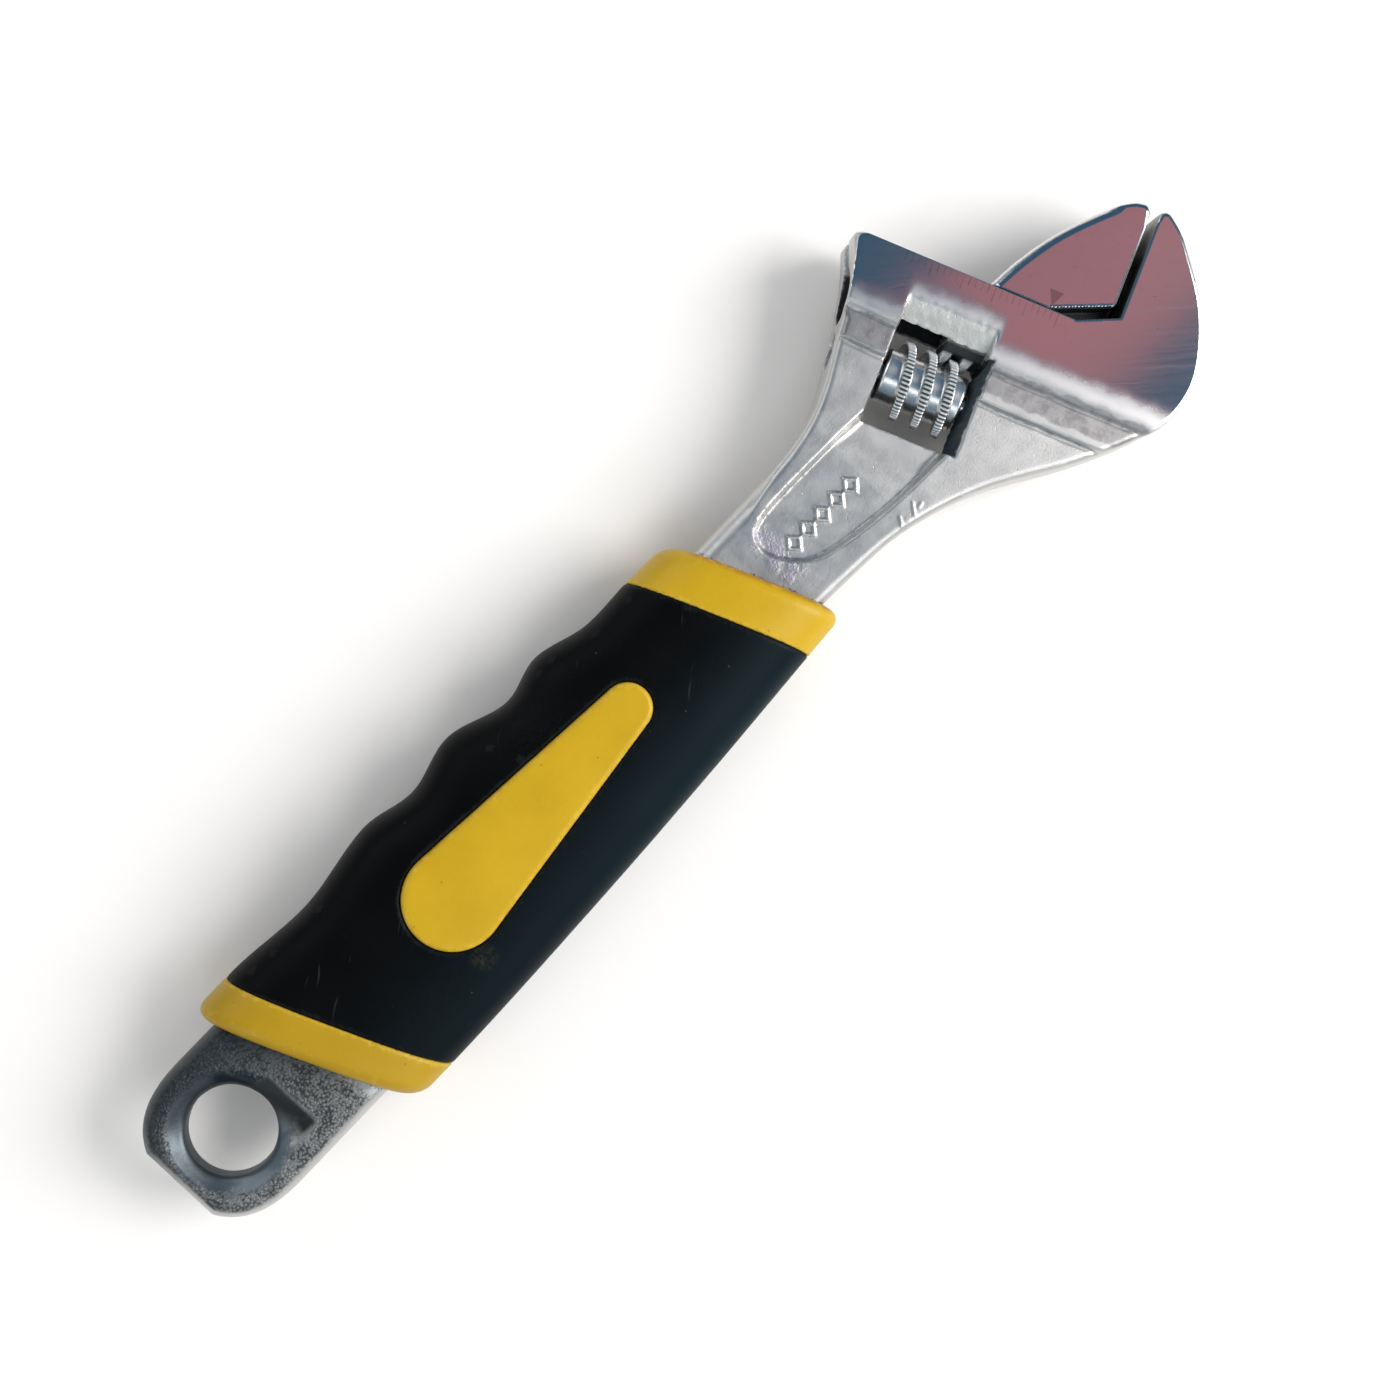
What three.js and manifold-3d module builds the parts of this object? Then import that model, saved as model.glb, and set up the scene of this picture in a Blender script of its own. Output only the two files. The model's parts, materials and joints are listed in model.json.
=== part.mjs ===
// An adjustable wrench, nominal length 200 mm, jaw opening 24 mm, with a two-colour moulded grip.
// Millimetres, +Z up. The wrench lies face up. +X runs along the handle towards the head.
// The pieces are built in the handle frame, whose origin is the centre of the hang hole on the
// middle plane. The head's pieces are built in the head frame: u is the way the jaws reach out,
// v is the way the movable jaw opens, and the head frame is turned by HEAD_ANGLE about Z.
// The finished group is moved so that its origin is under its middle, on the surface it rests on.
import * as THREE from "three";
import { mergeVertices } from "three/addons/utils/BufferGeometryUtils.js";
import Module from "manifold-3d";

const wasm = await Module();
wasm.setup();

// ---- Driving dimensions: the forged body ----
const TAIL_END = 10.5; // hang-hole centre to the flat end of the tail
const HEAD_X = 157.4; // hang-hole centre to the head frame's origin
const HEAD_ANGLE = THREE.MathUtils.degToRad(22.5); // the jaws' offset from the handle
const HANG_HOLE_D = 13;
const DISH_D = 18; // the countersunk dish around the hang hole
const DISH_DEPTH = 1.3;
const TAIL_HALF_WIDTH = 12.2;
const TAIL_FLAT_HALF = 6.4; // half the width of the flat end
const TAIL_CORNER = 7.6; // how far behind the hole the tail's round corners aim
const SHANK_HALF_WIDTH = 9.6;
const PALM_SIDE_TRIM = 0.5; // the shank is this much slimmer on the palm side, in front of the grip
const SHANK_HALF = 3.8; // half the thickness of the shank and the tail
const NECK_HALF = 5.0; // half the thickness where the neck meets the head
const BAND_HALF = 5.6; // half the thickness of the raised band
const HEAD_HALF = 6.2; // half the thickness of the polished head
const HEAD_STEP_U = -3.4; // where the polished face steps down to the band
const BAND_STEP_U = -8.3; // where the band steps down to the neck
const STEP_SLOPE = 0.6;
const PANEL_DEPTH = 1.0; // the sunk panel on the neck

// ---- Driving dimensions: the jaws ----
const FRONT_U = 7.6; // the head's front face, which the movable jaw slides on
const FIXED_FACE_V = -16.65; // the fixed jaw's working face
const JAW_GAP = 1.4; // the opening as the tool is shown
const JAW_REACH = 27.8; // the tips of the jaws
const JAW_HALF = 6.0; // half the thickness of the movable jaw
const THROAT_U = 10.4; // where the throat's slope meets the working face
const THROAT_V = -10.5; // where the throat's slope leaves the front face
const HEAD_BACK_V = 24.5; // the head's back corner, where the channel opens
const HEEL_U = 11.8; // where the movable jaw's heel slope meets its working face
const HEEL_V = -6.1; // where that slope leaves its base
const LEAF_BACK_V = 3.1; // the back end of its base
const BOSS_R = 4.0; // the round rack bar
const BOSS_LENGTH = 21.1;
const WEB_HALF = 1.7; // half the thickness of the web between the bar and the jaw
const SLIDE_CLEARANCE = 0.3;
const CHANNEL_SPARE = 0.35; // what is left past the rack bar when the jaws are shut

// ---- Driving dimensions: the worm and what holds it ----
const WORM_U = -9.3;
const THREAD_PITCH = 3.35;
const THREAD_MID_V = 6.3; // where the middle turn crosses the top
const THREAD_TURNS = 3;
const THREAD_R = 5.8;
const THREAD_ROOT_R = 4.1;
const THREAD_CREST_WIDTH = 0.9;
const THREAD_ROOT_WIDTH = 1.5;
const WORM_LAND = 1.27; // plain length at each end of the worm
const WORM_LENGTH = THREAD_TURNS * THREAD_PITCH + 2 * WORM_LAND;
const WORM_SHIFT_V = 0.35; // the worm's middle, past its thread's middle
const WORM_MID_V = THREAD_MID_V + WORM_SHIFT_V;
const WORM_END_CLEARANCE = 0.45;
const WORM_BEVEL = 0.6;
const THUMB_ROOM = 2.6; // between the worm and the window's near edge
const RACK_ROOM = 0.8; // between the worm and the window's edge under the head
const PIN_R = 1.5;
const PIN_HEAD_R = 2.6;
const PIN_HEAD_LENGTH = 2.2;
const PIN_SUNK = 0.9; // how far the pin's slotted head sits below the body's edge
const PIN_EDGE_V = 20.5; // the body's edge where the pin goes in
const PIN_TIP_LENGTH = 6; // how far the pin goes into the far wall
const PIN_SLOT_WIDTH = 0.8;
const PIN_SLOT_DEPTH = 0.9;
const RUN_CLEARANCE = 0.3;
const SPRING_WIRE_R = 0.3;
const SPRING_ROOM = 0.45; // between the spring and the pin inside it
const SPRING_R = PIN_R + SPRING_ROOM + SPRING_WIRE_R;
const SPRING_POCKET = 4; // depth of the worm's counterbore
const SPRING_TURNS = 3.5;
const BOSS_U = WORM_U + THREAD_ROOT_R + RUN_CLEARANCE + BOSS_R; // the rack clears the thread's root
const PIN_HEAD_V = PIN_EDGE_V - PIN_SUNK;

// ---- Driving dimensions: the grip ----
const GRIP_SLANT = THREE.MathUtils.degToRad(22.5); // its ends and seams lean like the jaws
const GRIP_REAR = 14.7; // where the slanted planes cross the handle's axis
const REAR_SEAM = 21.4;
const FRONT_SEAM = 100.5;
const GRIP_FRONT = 108.6;
const GRIP_LEAN_ROOM = 20;
const GRIP_HALF = 9.0; // half the thickness of the grip
const SECTION_POWER = 2.8; // squareness of its cross-section
const COVER_WALL = 1.3;
const SKIN_GAP = 0.3; // between the two mouldings
const INLAY_PROUD = 0.3;
const INLAY_WIDE = { x: 45.4, y: 0.25, r: 7.3 };
const INLAY_NARROW = { x: 81.7, y: 1.3, r: 3.65 };

// The grip's two side edges, as distances from the handle's axis at places along it:
// finger scallops on one side, a gentle taper on the other.
const FINGER_EDGE = [
  [-10, 15.2], [16, 15.6], [30, 14.6], [43.5, 16.4], [52, 14.95], [61, 16.8], [70.5, 14.2],
  [78, 15.7], [86.5, 13.7], [96, 13.8], [130, 12.5],
];
const PALM_EDGE = [[-10, 15.9], [30, 16.2], [60, 15.4], [85, 14.2], [110, 12.6], [130, 11.5]];

const BEYOND = 60; // more than any piece reaches, for cuts that go right through
const ROUND = 32; // sides of a round piece
const WIRE_SIDES = 6;
const GRIP_SIDES = 20;
const FINE_STEPS = 44; // sections along the grip's outside
const COARSE_STEPS = 22; // sections along the faces between its two mouldings

// ---- Small helpers ----
// A closed geometry as a solid that can be joined and cut.
function solid(geometry) {
  const bare = geometry.index ? geometry.toNonIndexed() : geometry.clone();
  bare.deleteAttribute("normal");
  bare.deleteAttribute("uv");
  const merged = mergeVertices(bare, 1e-4);
  return new wasm.Manifold(
    new wasm.Mesh({
      numProp: 3,
      vertProperties: merged.attributes.position.array,
      triVerts: new Uint32Array(merged.index.array),
    }),
  );
}

function mesh(name, made, color, roughness, metalness) {
  const data = made.getMesh();
  const indexed = new THREE.BufferGeometry();
  indexed.setAttribute("position", new THREE.BufferAttribute(data.vertProperties, 3));
  indexed.setIndex(new THREE.BufferAttribute(data.triVerts, 1));
  const geometry = indexed.toNonIndexed();
  geometry.computeVertexNormals();
  const material = new THREE.MeshStandardMaterial({ color, roughness, metalness });
  const piece = new THREE.Mesh(geometry, material);
  piece.name = name;
  return piece;
}

// A shape in the (x, y) plane made thick along Z.
function alongZ(shape, low, high, curveSegments = 6) {
  const settings = { depth: high - low, bevelEnabled: false, curveSegments };
  return new THREE.ExtrudeGeometry(shape, settings).translate(0, 0, low);
}

// A shape in the (x, z) plane made long along Y.
function alongY(shape, low, high) {
  return alongZ(shape, -high, -low).rotateX(Math.PI / 2);
}

function polygon(points) {
  return new THREE.Shape(points.map(([x, y]) => new THREE.Vector2(x, y)));
}

function rectangle(x0, x1, y0, y1) {
  return polygon([[x0, y0], [x1, y0], [x1, y1], [x0, y1]]);
}

// A round bar along Y between two heights, with its axis at (x, 0).
function barAlongY(radius, x, low, high) {
  const bar = new THREE.CylinderGeometry(radius, radius, high - low, ROUND);
  return bar.translate(x, (low + high) / 2, 0);
}

// A section given as (along the axis, out from the axis), swept round the Y axis by a screw motion.
function screwed(shape, turns, pitch, stepsPerTurn) {
  const angle = turns * 2 * Math.PI;
  const steps = Math.round(turns * stepsPerTurn);
  const swept = new THREE.ExtrudeGeometry(shape, { depth: angle, steps, bevelEnabled: false });
  const place = swept.attributes.position;
  for (let i = 0; i < place.count; i++) {
    const along = place.getX(i);
    const out = place.getY(i);
    const turn = place.getZ(i) - angle / 2;
    place.setXYZ(i, out * Math.sin(turn), along + (pitch * turn) / (2 * Math.PI), out * Math.cos(turn));
  }
  return swept;
}

// A smooth curve through the listed [x, y] points, read at x.
function smoothAt(points, x) {
  const last = points.length - 2;
  let i = 0;
  while (i < last && x > points[i + 1][0]) i++;
  const slope = (k) => {
    const a = points[Math.max(k - 1, 0)];
    const b = points[Math.min(k + 1, points.length - 1)];
    return (b[1] - a[1]) / (b[0] - a[0]);
  };
  const [x0, y0] = points[i];
  const [x1, y1] = points[i + 1];
  const t = (x - x0) / (x1 - x0);
  const rise = (x1 - x0) * (slope(i) * t * (1 - t) ** 2 - slope(i + 1) * t * t * (1 - t));
  return y0 + (y1 - y0) * t * t * (3 - 2 * t) + rise;
}

// A point of the head frame, seen from the handle frame.
function fromHead(u, v) {
  const turned = new THREE.Vector2(u, v).rotateAround(new THREE.Vector2(), HEAD_ANGLE);
  return turned.add(new THREE.Vector2(HEAD_X, 0));
}

const HEAD_PLACE = new THREE.Matrix4()
  .makeTranslation(HEAD_X, 0, 0)
  .multiply(new THREE.Matrix4().makeRotationZ(HEAD_ANGLE));

function inHead(geometry) {
  return solid(geometry.applyMatrix4(HEAD_PLACE));
}

// ---- The forged body: tail, shank, neck, head and fixed jaw ----
// One long side of the tail and shank. The wide tail runs on under the slanted rear collar, and
// then narrows to the shank.
function tailSide(side, grow) {
  const wide = side * (TAIL_HALF_WIDTH + grow);
  const narrow = side * (SHANK_HALF_WIDTH + grow);
  const hidden = GRIP_REAR - side * TAIL_HALF_WIDTH * Math.tan(GRIP_SLANT);
  return [
    new THREE.Vector2(1, wide),
    new THREE.Vector2(hidden + 2, wide),
    new THREE.Vector2(hidden + 10, narrow),
  ];
}

function bodyShape() {
  const shape = new THREE.Shape();
  const neckStart = GRIP_FRONT - 4;
  shape.moveTo(-TAIL_END, -TAIL_FLAT_HALF);
  const [low, ...lowRest] = tailSide(-1, 0);
  shape.quadraticCurveTo(-TAIL_CORNER, low.y, low.x, low.y);
  lowRest.forEach((p) => shape.lineTo(p.x, p.y));
  shape.lineTo(neckStart, PALM_SIDE_TRIM - SHANK_HALF_WIDTH);
  shape.splineThru([
    new THREE.Vector2(GRIP_FRONT + 8, -9.3),
    new THREE.Vector2(HEAD_X - 28.5, -10.4),
    new THREE.Vector2(HEAD_X - 16.5, -14.4),
    fromHead(-11.8, -18.6),
    fromHead(-4, -26.8),
    fromHead(1.8, -29.9),
    fromHead(8, -30.3),
    fromHead(16.2, -27.6),
    fromHead(JAW_REACH - 4.4, -22.6),
    fromHead(JAW_REACH - 0.6, FIXED_FACE_V - 2.2),
    fromHead(JAW_REACH, FIXED_FACE_V - 0.8),
  ]);
  const straight = [
    fromHead(JAW_REACH - 0.6, FIXED_FACE_V),
    fromHead(THROAT_U, FIXED_FACE_V),
    fromHead(FRONT_U, THROAT_V),
    fromHead(FRONT_U, HEAD_BACK_V - 1.1),
    fromHead(FRONT_U - 1.1, HEAD_BACK_V),
  ];
  straight.forEach((p) => shape.lineTo(p.x, p.y));
  shape.splineThru([
    fromHead(0, HEAD_BACK_V - 2.2),
    new THREE.Vector2(HEAD_X - 16.2, 16.4),
    new THREE.Vector2(HEAD_X - 22.4, 13.0),
    new THREE.Vector2(HEAD_X - 28.4, 10.9),
    new THREE.Vector2(GRIP_FRONT + 12, 9.9),
    new THREE.Vector2(neckStart, SHANK_HALF_WIDTH),
  ]);
  const [top, ...topRest] = tailSide(1, 0);
  topRest.reverse().forEach((p) => shape.lineTo(p.x, p.y));
  shape.lineTo(top.x, top.y);
  shape.quadraticCurveTo(-TAIL_CORNER, top.y, -TAIL_END, TAIL_FLAT_HALF);
  return shape;
}

// How thick the body is along the handle, as a section in the (x, z) plane.
function sideProfile() {
  const up = [
    [-TAIL_END - 1, SHANK_HALF],
    [GRIP_FRONT, SHANK_HALF],
    [HEAD_X - 22, NECK_HALF + 0.3],
    [HEAD_X - 6, HEAD_HALF + 2],
    [HEAD_X + BEYOND, HEAD_HALF + 2],
  ];
  const down = up.map(([x, z]) => [x, -z]);
  return polygon([...down, ...up.reverse()]);
}

// The steps from the neck to the band and from the band to the polished face, in the (u, z) plane.
function stepProfile() {
  const up = [
    [-HEAD_X - BEYOND, NECK_HALF],
    [BAND_STEP_U, NECK_HALF],
    [BAND_STEP_U + STEP_SLOPE, BAND_HALF],
    [HEAD_STEP_U, BAND_HALF],
    [HEAD_STEP_U + STEP_SLOPE, HEAD_HALF],
    [BEYOND, HEAD_HALF],
  ];
  const down = up.map(([u, z]) => [u, -z]);
  return polygon([...down, ...up.reverse()]);
}

const WINDOW = {
  lowU: WORM_U - THREAD_R - THUMB_ROOM,
  highU: WORM_U + THREAD_R + RACK_ROOM,
  lowV: WORM_MID_V - WORM_LENGTH / 2 - WORM_END_CLEARANCE,
  highV: WORM_MID_V + WORM_LENGTH / 2 + WORM_END_CLEARANCE,
};

// The sunk panel with its round end, open into the worm's window.
function panelShape() {
  const shape = new THREE.Shape();
  const corner = fromHead(WINDOW.lowU + 1, WINDOW.highV);
  const foot = fromHead(WINDOW.lowU + 1, WINDOW.lowV);
  shape.moveTo(corner.x, corner.y);
  shape.splineThru([
    new THREE.Vector2(HEAD_X - 28, 6.4),
    new THREE.Vector2(GRIP_FRONT + 6.8, 6.2),
    new THREE.Vector2(GRIP_FRONT + 3.6, 3.2),
    new THREE.Vector2(GRIP_FRONT + 5.2, -1),
    new THREE.Vector2(GRIP_FRONT + 9.8, -4.2),
    new THREE.Vector2(HEAD_X - 28, -6),
    foot,
  ]);
  return shape;
}

// The hollow run-out between the window and the polished face, in the (u, z) plane.
function scoopShape() {
  return polygon([
    [WINDOW.lowU - 1, NECK_HALF - PANEL_DEPTH],
    [WINDOW.highU, NECK_HALF - PANEL_DEPTH],
    [WINDOW.highU + 2.6, HEAD_HALF - 0.9],
    [WINDOW.highU + 5, HEAD_HALF + 0.1],
    [WINDOW.highU + 5, HEAD_HALF + 3],
    [WINDOW.lowU - 1, HEAD_HALF + 3],
  ]);
}

// The keyhole channel that guides the rack bar and its web, open at the head's back end.
function channel() {
  const end = FIXED_FACE_V - CHANNEL_SPARE;
  const bore = inHead(barAlongY(BOSS_R + SLIDE_CLEARANCE, BOSS_U, end, BEYOND));
  const half = WEB_HALF + SLIDE_CLEARANCE;
  const slot = inHead(alongY(rectangle(BOSS_U, HEEL_U + 1, -half, half), end, BEYOND));
  return bore.add(slot);
}

function pinHole() {
  const far = WINDOW.lowV - PIN_TIP_LENGTH - RUN_CLEARANCE;
  const bore = barAlongY(PIN_R + RUN_CLEARANCE, WORM_U, far, BEYOND);
  const headLow = PIN_HEAD_V - PIN_HEAD_LENGTH - RUN_CLEARANCE;
  const seat = barAlongY(PIN_HEAD_R + RUN_CLEARANCE, WORM_U, headLow, BEYOND);
  return inHead(bore).add(inHead(seat));
}

function hangDish(side) {
  const slope = DISH_D - HANG_HOLE_D;
  const dish = new THREE.CylinderGeometry(DISH_D / 2 + slope / 2, HANG_HOLE_D / 2, DISH_DEPTH * 2, ROUND);
  dish.rotateX((side * Math.PI) / 2);
  return solid(dish.translate(0, 0, side * SHANK_HALF));
}

function body() {
  const prism = solid(alongZ(bodyShape(), -HEAD_HALF - 1, HEAD_HALF + 1));
  let made = prism.intersect(solid(alongY(sideProfile(), -BEYOND, BEYOND)));
  made = made.intersect(inHead(alongY(stepProfile(), -BEYOND * 3, BEYOND * 3)));
  const window = rectangle(WINDOW.lowU, WINDOW.highU, WINDOW.lowV, WINDOW.highV);
  made = made.subtract(inHead(alongZ(window, -BEYOND, BEYOND)));
  for (const side of [1, -1]) {
    const floor = NECK_HALF - PANEL_DEPTH;
    const panel = side > 0 ? [floor, BEYOND] : [-BEYOND, -floor];
    made = made.subtract(solid(alongZ(panelShape(), ...panel)));
    const scoop = alongY(scoopShape(), WINDOW.lowV, WINDOW.highV);
    if (side < 0) scoop.translate(0, -WORM_MID_V, 0).rotateX(Math.PI).translate(0, WORM_MID_V, 0);
    made = made.subtract(inHead(scoop));
    made = made.subtract(hangDish(side));
  }
  const hole = new THREE.CylinderGeometry(HANG_HOLE_D / 2, HANG_HOLE_D / 2, BEYOND, ROUND);
  made = made.subtract(solid(hole.rotateX(Math.PI / 2)));
  return made.subtract(channel()).subtract(pinHole());
}

// ---- The movable jaw: leaf, web and round rack bar ----
function threadWidthAt(radius) {
  const share = (radius - THREAD_ROOT_R) / (THREAD_R - THREAD_ROOT_R);
  const inside = Math.min(Math.max(share, 0), 1);
  return THREAD_ROOT_WIDTH + (THREAD_CREST_WIDTH - THREAD_ROOT_WIDTH) * inside;
}

const JAW_FACE_V = FIXED_FACE_V + JAW_GAP;

function leafShape() {
  const shape = new THREE.Shape();
  const base = FRONT_U + SLIDE_CLEARANCE;
  shape.moveTo(base, LEAF_BACK_V);
  shape.lineTo(base, HEEL_V);
  shape.lineTo(HEEL_U, JAW_FACE_V);
  shape.lineTo(JAW_REACH - 0.8, JAW_FACE_V);
  shape.splineThru([
    new THREE.Vector2(JAW_REACH - 0.1, JAW_FACE_V + 0.6),
    new THREE.Vector2(JAW_REACH, JAW_FACE_V + 1.4),
    new THREE.Vector2(JAW_REACH - 0.7, JAW_FACE_V + 3.3),
    new THREE.Vector2(JAW_REACH - 3.7, JAW_FACE_V + 6.9),
    new THREE.Vector2(JAW_REACH - 9.3, JAW_FACE_V + 12),
    new THREE.Vector2(JAW_REACH - 15, JAW_FACE_V + 15.8),
    new THREE.Vector2(base, LEAF_BACK_V),
  ]);
  return shape;
}

// One gap between rack teeth, leaning like the thread that runs through it.
function rackGap(v) {
  const deep = WORM_U + THREAD_R + RUN_CLEARANCE;
  const shallow = BOSS_U - BOSS_R - 1;
  const half = (u) => threadWidthAt(u - WORM_U) / 2 + RUN_CLEARANCE;
  const shape = polygon([
    [shallow, -half(shallow)],
    [deep, -half(deep)],
    [deep, half(deep)],
    [shallow, half(shallow)],
  ]);
  const lean = Math.atan(THREAD_PITCH / (2 * Math.PI * ((THREAD_R + THREAD_ROOT_R) / 2)));
  return solid(alongZ(shape, -BOSS_R * 2, BOSS_R * 2).rotateX(lean).translate(0, v, 0));
}

function movableJaw() {
  const barEnd = JAW_FACE_V + BOSS_LENGTH;
  const bar = solid(barAlongY(BOSS_R, BOSS_U, JAW_FACE_V, barEnd));
  const webShape = polygon([
    [BOSS_U, JAW_FACE_V],
    [HEEL_U, JAW_FACE_V],
    [FRONT_U + 1, HEEL_V],
    [FRONT_U + 1, LEAF_BACK_V],
    [BOSS_U, LEAF_BACK_V],
  ]);
  const web = solid(alongZ(webShape, -WEB_HALF, WEB_HALF));
  let made = solid(alongZ(leafShape(), -JAW_HALF, JAW_HALF)).add(bar).add(web);
  // At the side that faces the rack, the thread is a quarter turn on from where it crosses the top.
  const firstGap = THREAD_MID_V + THREAD_PITCH / 4;
  for (let v = firstGap; v > JAW_FACE_V + 1; v -= THREAD_PITCH) {
    made = made.subtract(rackGap(v));
  }
  return made;
}

// ---- The worm, its pin and its spring ----
function worm() {
  const low = WORM_MID_V - WORM_LENGTH / 2;
  const high = WORM_MID_V + WORM_LENGTH / 2;
  const bore = PIN_R + RUN_CLEARANCE;
  const pocket = SPRING_R + SPRING_WIRE_R + RUN_CLEARANCE;
  const profile = [
    [bore, low], [THREAD_ROOT_R - WORM_BEVEL, low], [THREAD_ROOT_R, low + WORM_BEVEL],
    [THREAD_ROOT_R, high - WORM_BEVEL], [THREAD_ROOT_R - WORM_BEVEL, high], [pocket, high],
    [pocket, high - SPRING_POCKET], [bore, high - SPRING_POCKET], [bore, low],
  ].map(([r, v]) => new THREE.Vector2(r, v));
  const hub = solid(new THREE.LatheGeometry(profile, ROUND));
  const sunk = THREAD_ROOT_R - 0.5;
  const wide = threadWidthAt(THREAD_ROOT_R) / 2;
  const narrow = threadWidthAt(THREAD_R) / 2;
  const section = polygon([[-wide, sunk], [wide, sunk], [narrow, THREAD_R], [-narrow, THREAD_R]]);
  const thread = screwed(section, THREAD_TURNS, THREAD_PITCH, 24).translate(0, THREAD_MID_V, 0);
  return hub.add(solid(thread));
}

function wormPin() {
  const tip = WINDOW.lowV - PIN_TIP_LENGTH;
  const seat = PIN_HEAD_V - PIN_HEAD_LENGTH;
  const profile = [
    [0, tip], [PIN_R - 0.4, tip], [PIN_R, tip + 0.4], [PIN_R, seat], [PIN_HEAD_R, seat],
    [PIN_HEAD_R, PIN_HEAD_V - 0.3], [PIN_HEAD_R - 0.3, PIN_HEAD_V], [0, PIN_HEAD_V],
  ].map(([r, v]) => new THREE.Vector2(r, v));
  const half = PIN_SLOT_WIDTH / 2;
  const slot = rectangle(-BEYOND, BEYOND, -half, half);
  const cut = solid(alongY(slot, PIN_HEAD_V - PIN_SLOT_DEPTH, BEYOND));
  return solid(new THREE.LatheGeometry(profile, ROUND)).subtract(cut);
}

function wormSpring() {
  const low = WORM_MID_V + WORM_LENGTH / 2 - SPRING_POCKET + RUN_CLEARANCE + SPRING_WIRE_R;
  const high = WINDOW.highV - RUN_CLEARANCE / 2 - SPRING_WIRE_R;
  const wire = [];
  for (let i = 0; i < WIRE_SIDES; i++) {
    const a = (i / WIRE_SIDES) * 2 * Math.PI;
    wire.push([SPRING_WIRE_R * Math.cos(a), SPRING_R + SPRING_WIRE_R * Math.sin(a)]);
  }
  const coil = screwed(polygon(wire), SPRING_TURNS, (high - low) / SPRING_TURNS, 14);
  return solid(coil.translate(0, (low + high) / 2, 0));
}

// ---- The grip: a first moulding with collars and inlays, and a soft cover over it ----
// The grip's outer form, grown or shrunk all round.
function gripForm(grow, steps = FINE_STEPS) {
  const sides = GRIP_SIDES;
  const low = GRIP_REAR - GRIP_LEAN_ROOM;
  const high = GRIP_FRONT + GRIP_LEAN_ROOM;
  const unit = [];
  for (let i = 0; i < sides; i++) {
    const a = ((i + 0.5) / sides) * 2 * Math.PI;
    const bend = (value) => Math.sign(value) * Math.abs(value) ** (2 / SECTION_POWER);
    unit.push([bend(Math.cos(a)), bend(Math.sin(a))]);
  }
  const depth = high - low;
  const form = new THREE.ExtrudeGeometry(polygon(unit), { depth, steps, bevelEnabled: false });
  const place = form.attributes.position;
  const top = Math.sin(Math.PI / 2 - Math.PI / sides) ** (2 / SECTION_POWER);
  for (let i = 0; i < place.count; i++) {
    const x = place.getZ(i) + low;
    const finger = smoothAt(FINGER_EDGE, x) + grow;
    const palm = smoothAt(PALM_EDGE, x) + grow;
    const middle = (finger - palm) / 2;
    const half = (finger + palm) / 2;
    place.setXYZ(i, x, middle + half * place.getX(i), ((GRIP_HALF + grow) / top) * place.getY(i));
  }
  return solid(form);
}

// Everything between two slanted planes that cross the handle's axis at low and high.
function slab(low, high) {
  const lean = BEYOND * Math.tan(GRIP_SLANT);
  const shape = polygon([
    [low + lean, -BEYOND],
    [high + lean, -BEYOND],
    [high - lean, BEYOND],
    [low - lean, BEYOND],
  ]);
  return solid(alongZ(shape, -BEYOND, BEYOND));
}

// A drop shape: two round ends of different size and the lines that touch both.
function inlayShape(grow) {
  const wide = INLAY_WIDE;
  const narrow = INLAY_NARROW;
  const tilt = Math.atan2(narrow.y - wide.y, narrow.x - wide.x);
  const apart = Math.hypot(narrow.x - wide.x, narrow.y - wide.y);
  const touch = Math.acos((wide.r - narrow.r) / apart);
  const shape = new THREE.Shape();
  shape.absarc(narrow.x, narrow.y, narrow.r + grow, tilt - touch, tilt + touch);
  shape.absarc(wide.x, wide.y, wide.r + grow, tilt + touch, tilt - touch + 2 * Math.PI);
  return shape;
}

function shankBore() {
  const shape = new THREE.Shape();
  const grow = SKIN_GAP;
  const lower = tailSide(-1, grow);
  shape.moveTo(-TAIL_END - BEYOND, -TAIL_HALF_WIDTH - grow);
  lower.forEach((p) => shape.lineTo(p.x, p.y));
  shape.lineTo(GRIP_FRONT + BEYOND, -SHANK_HALF_WIDTH - grow);
  shape.lineTo(GRIP_FRONT + BEYOND, SHANK_HALF_WIDTH + grow);
  tailSide(1, grow).reverse().forEach((p) => shape.lineTo(p.x, p.y));
  shape.lineTo(-TAIL_END - BEYOND, TAIL_HALF_WIDTH + grow);
  return solid(alongZ(shape, -SHANK_HALF - grow, SHANK_HALF + grow));
}

function gripCore() {
  const outer = gripForm(0);
  const under = gripForm(-COVER_WALL - SKIN_GAP, COARSE_STEPS).intersect(slab(GRIP_REAR + 1, GRIP_FRONT - 1));
  const rear = outer.intersect(slab(GRIP_REAR, REAR_SEAM - SKIN_GAP / 2));
  const front = outer.intersect(slab(FRONT_SEAM + SKIN_GAP / 2, GRIP_FRONT));
  const drop = solid(alongZ(inlayShape(0), -BEYOND, BEYOND, 12));
  const inlays = gripForm(INLAY_PROUD).intersect(drop);
  return under.add(rear).add(front).add(inlays).subtract(shankBore());
}

function gripCover() {
  const outer = gripForm(0).intersect(slab(REAR_SEAM + SKIN_GAP / 2, FRONT_SEAM - SKIN_GAP / 2));
  const windows = solid(alongZ(inlayShape(SKIN_GAP), -BEYOND, BEYOND, 12));
  return outer.subtract(gripForm(-COVER_WALL, COARSE_STEPS)).subtract(windows);
}

// ---- The assembly ----
const STEEL = 0xaeb1b4;
const DARK_STEEL = 0x8c9092;
const YELLOW = 0xc7a323;
const BLACK = 0x0c0f12;

const handle = new THREE.Group();
handle.add(mesh("body", body(), STEEL, 0.42, 0.9));
handle.add(mesh("grip_core", gripCore(), YELLOW, 0.5, 0));
handle.add(mesh("grip_cover", gripCover(), BLACK, 0.62, 0));

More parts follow.
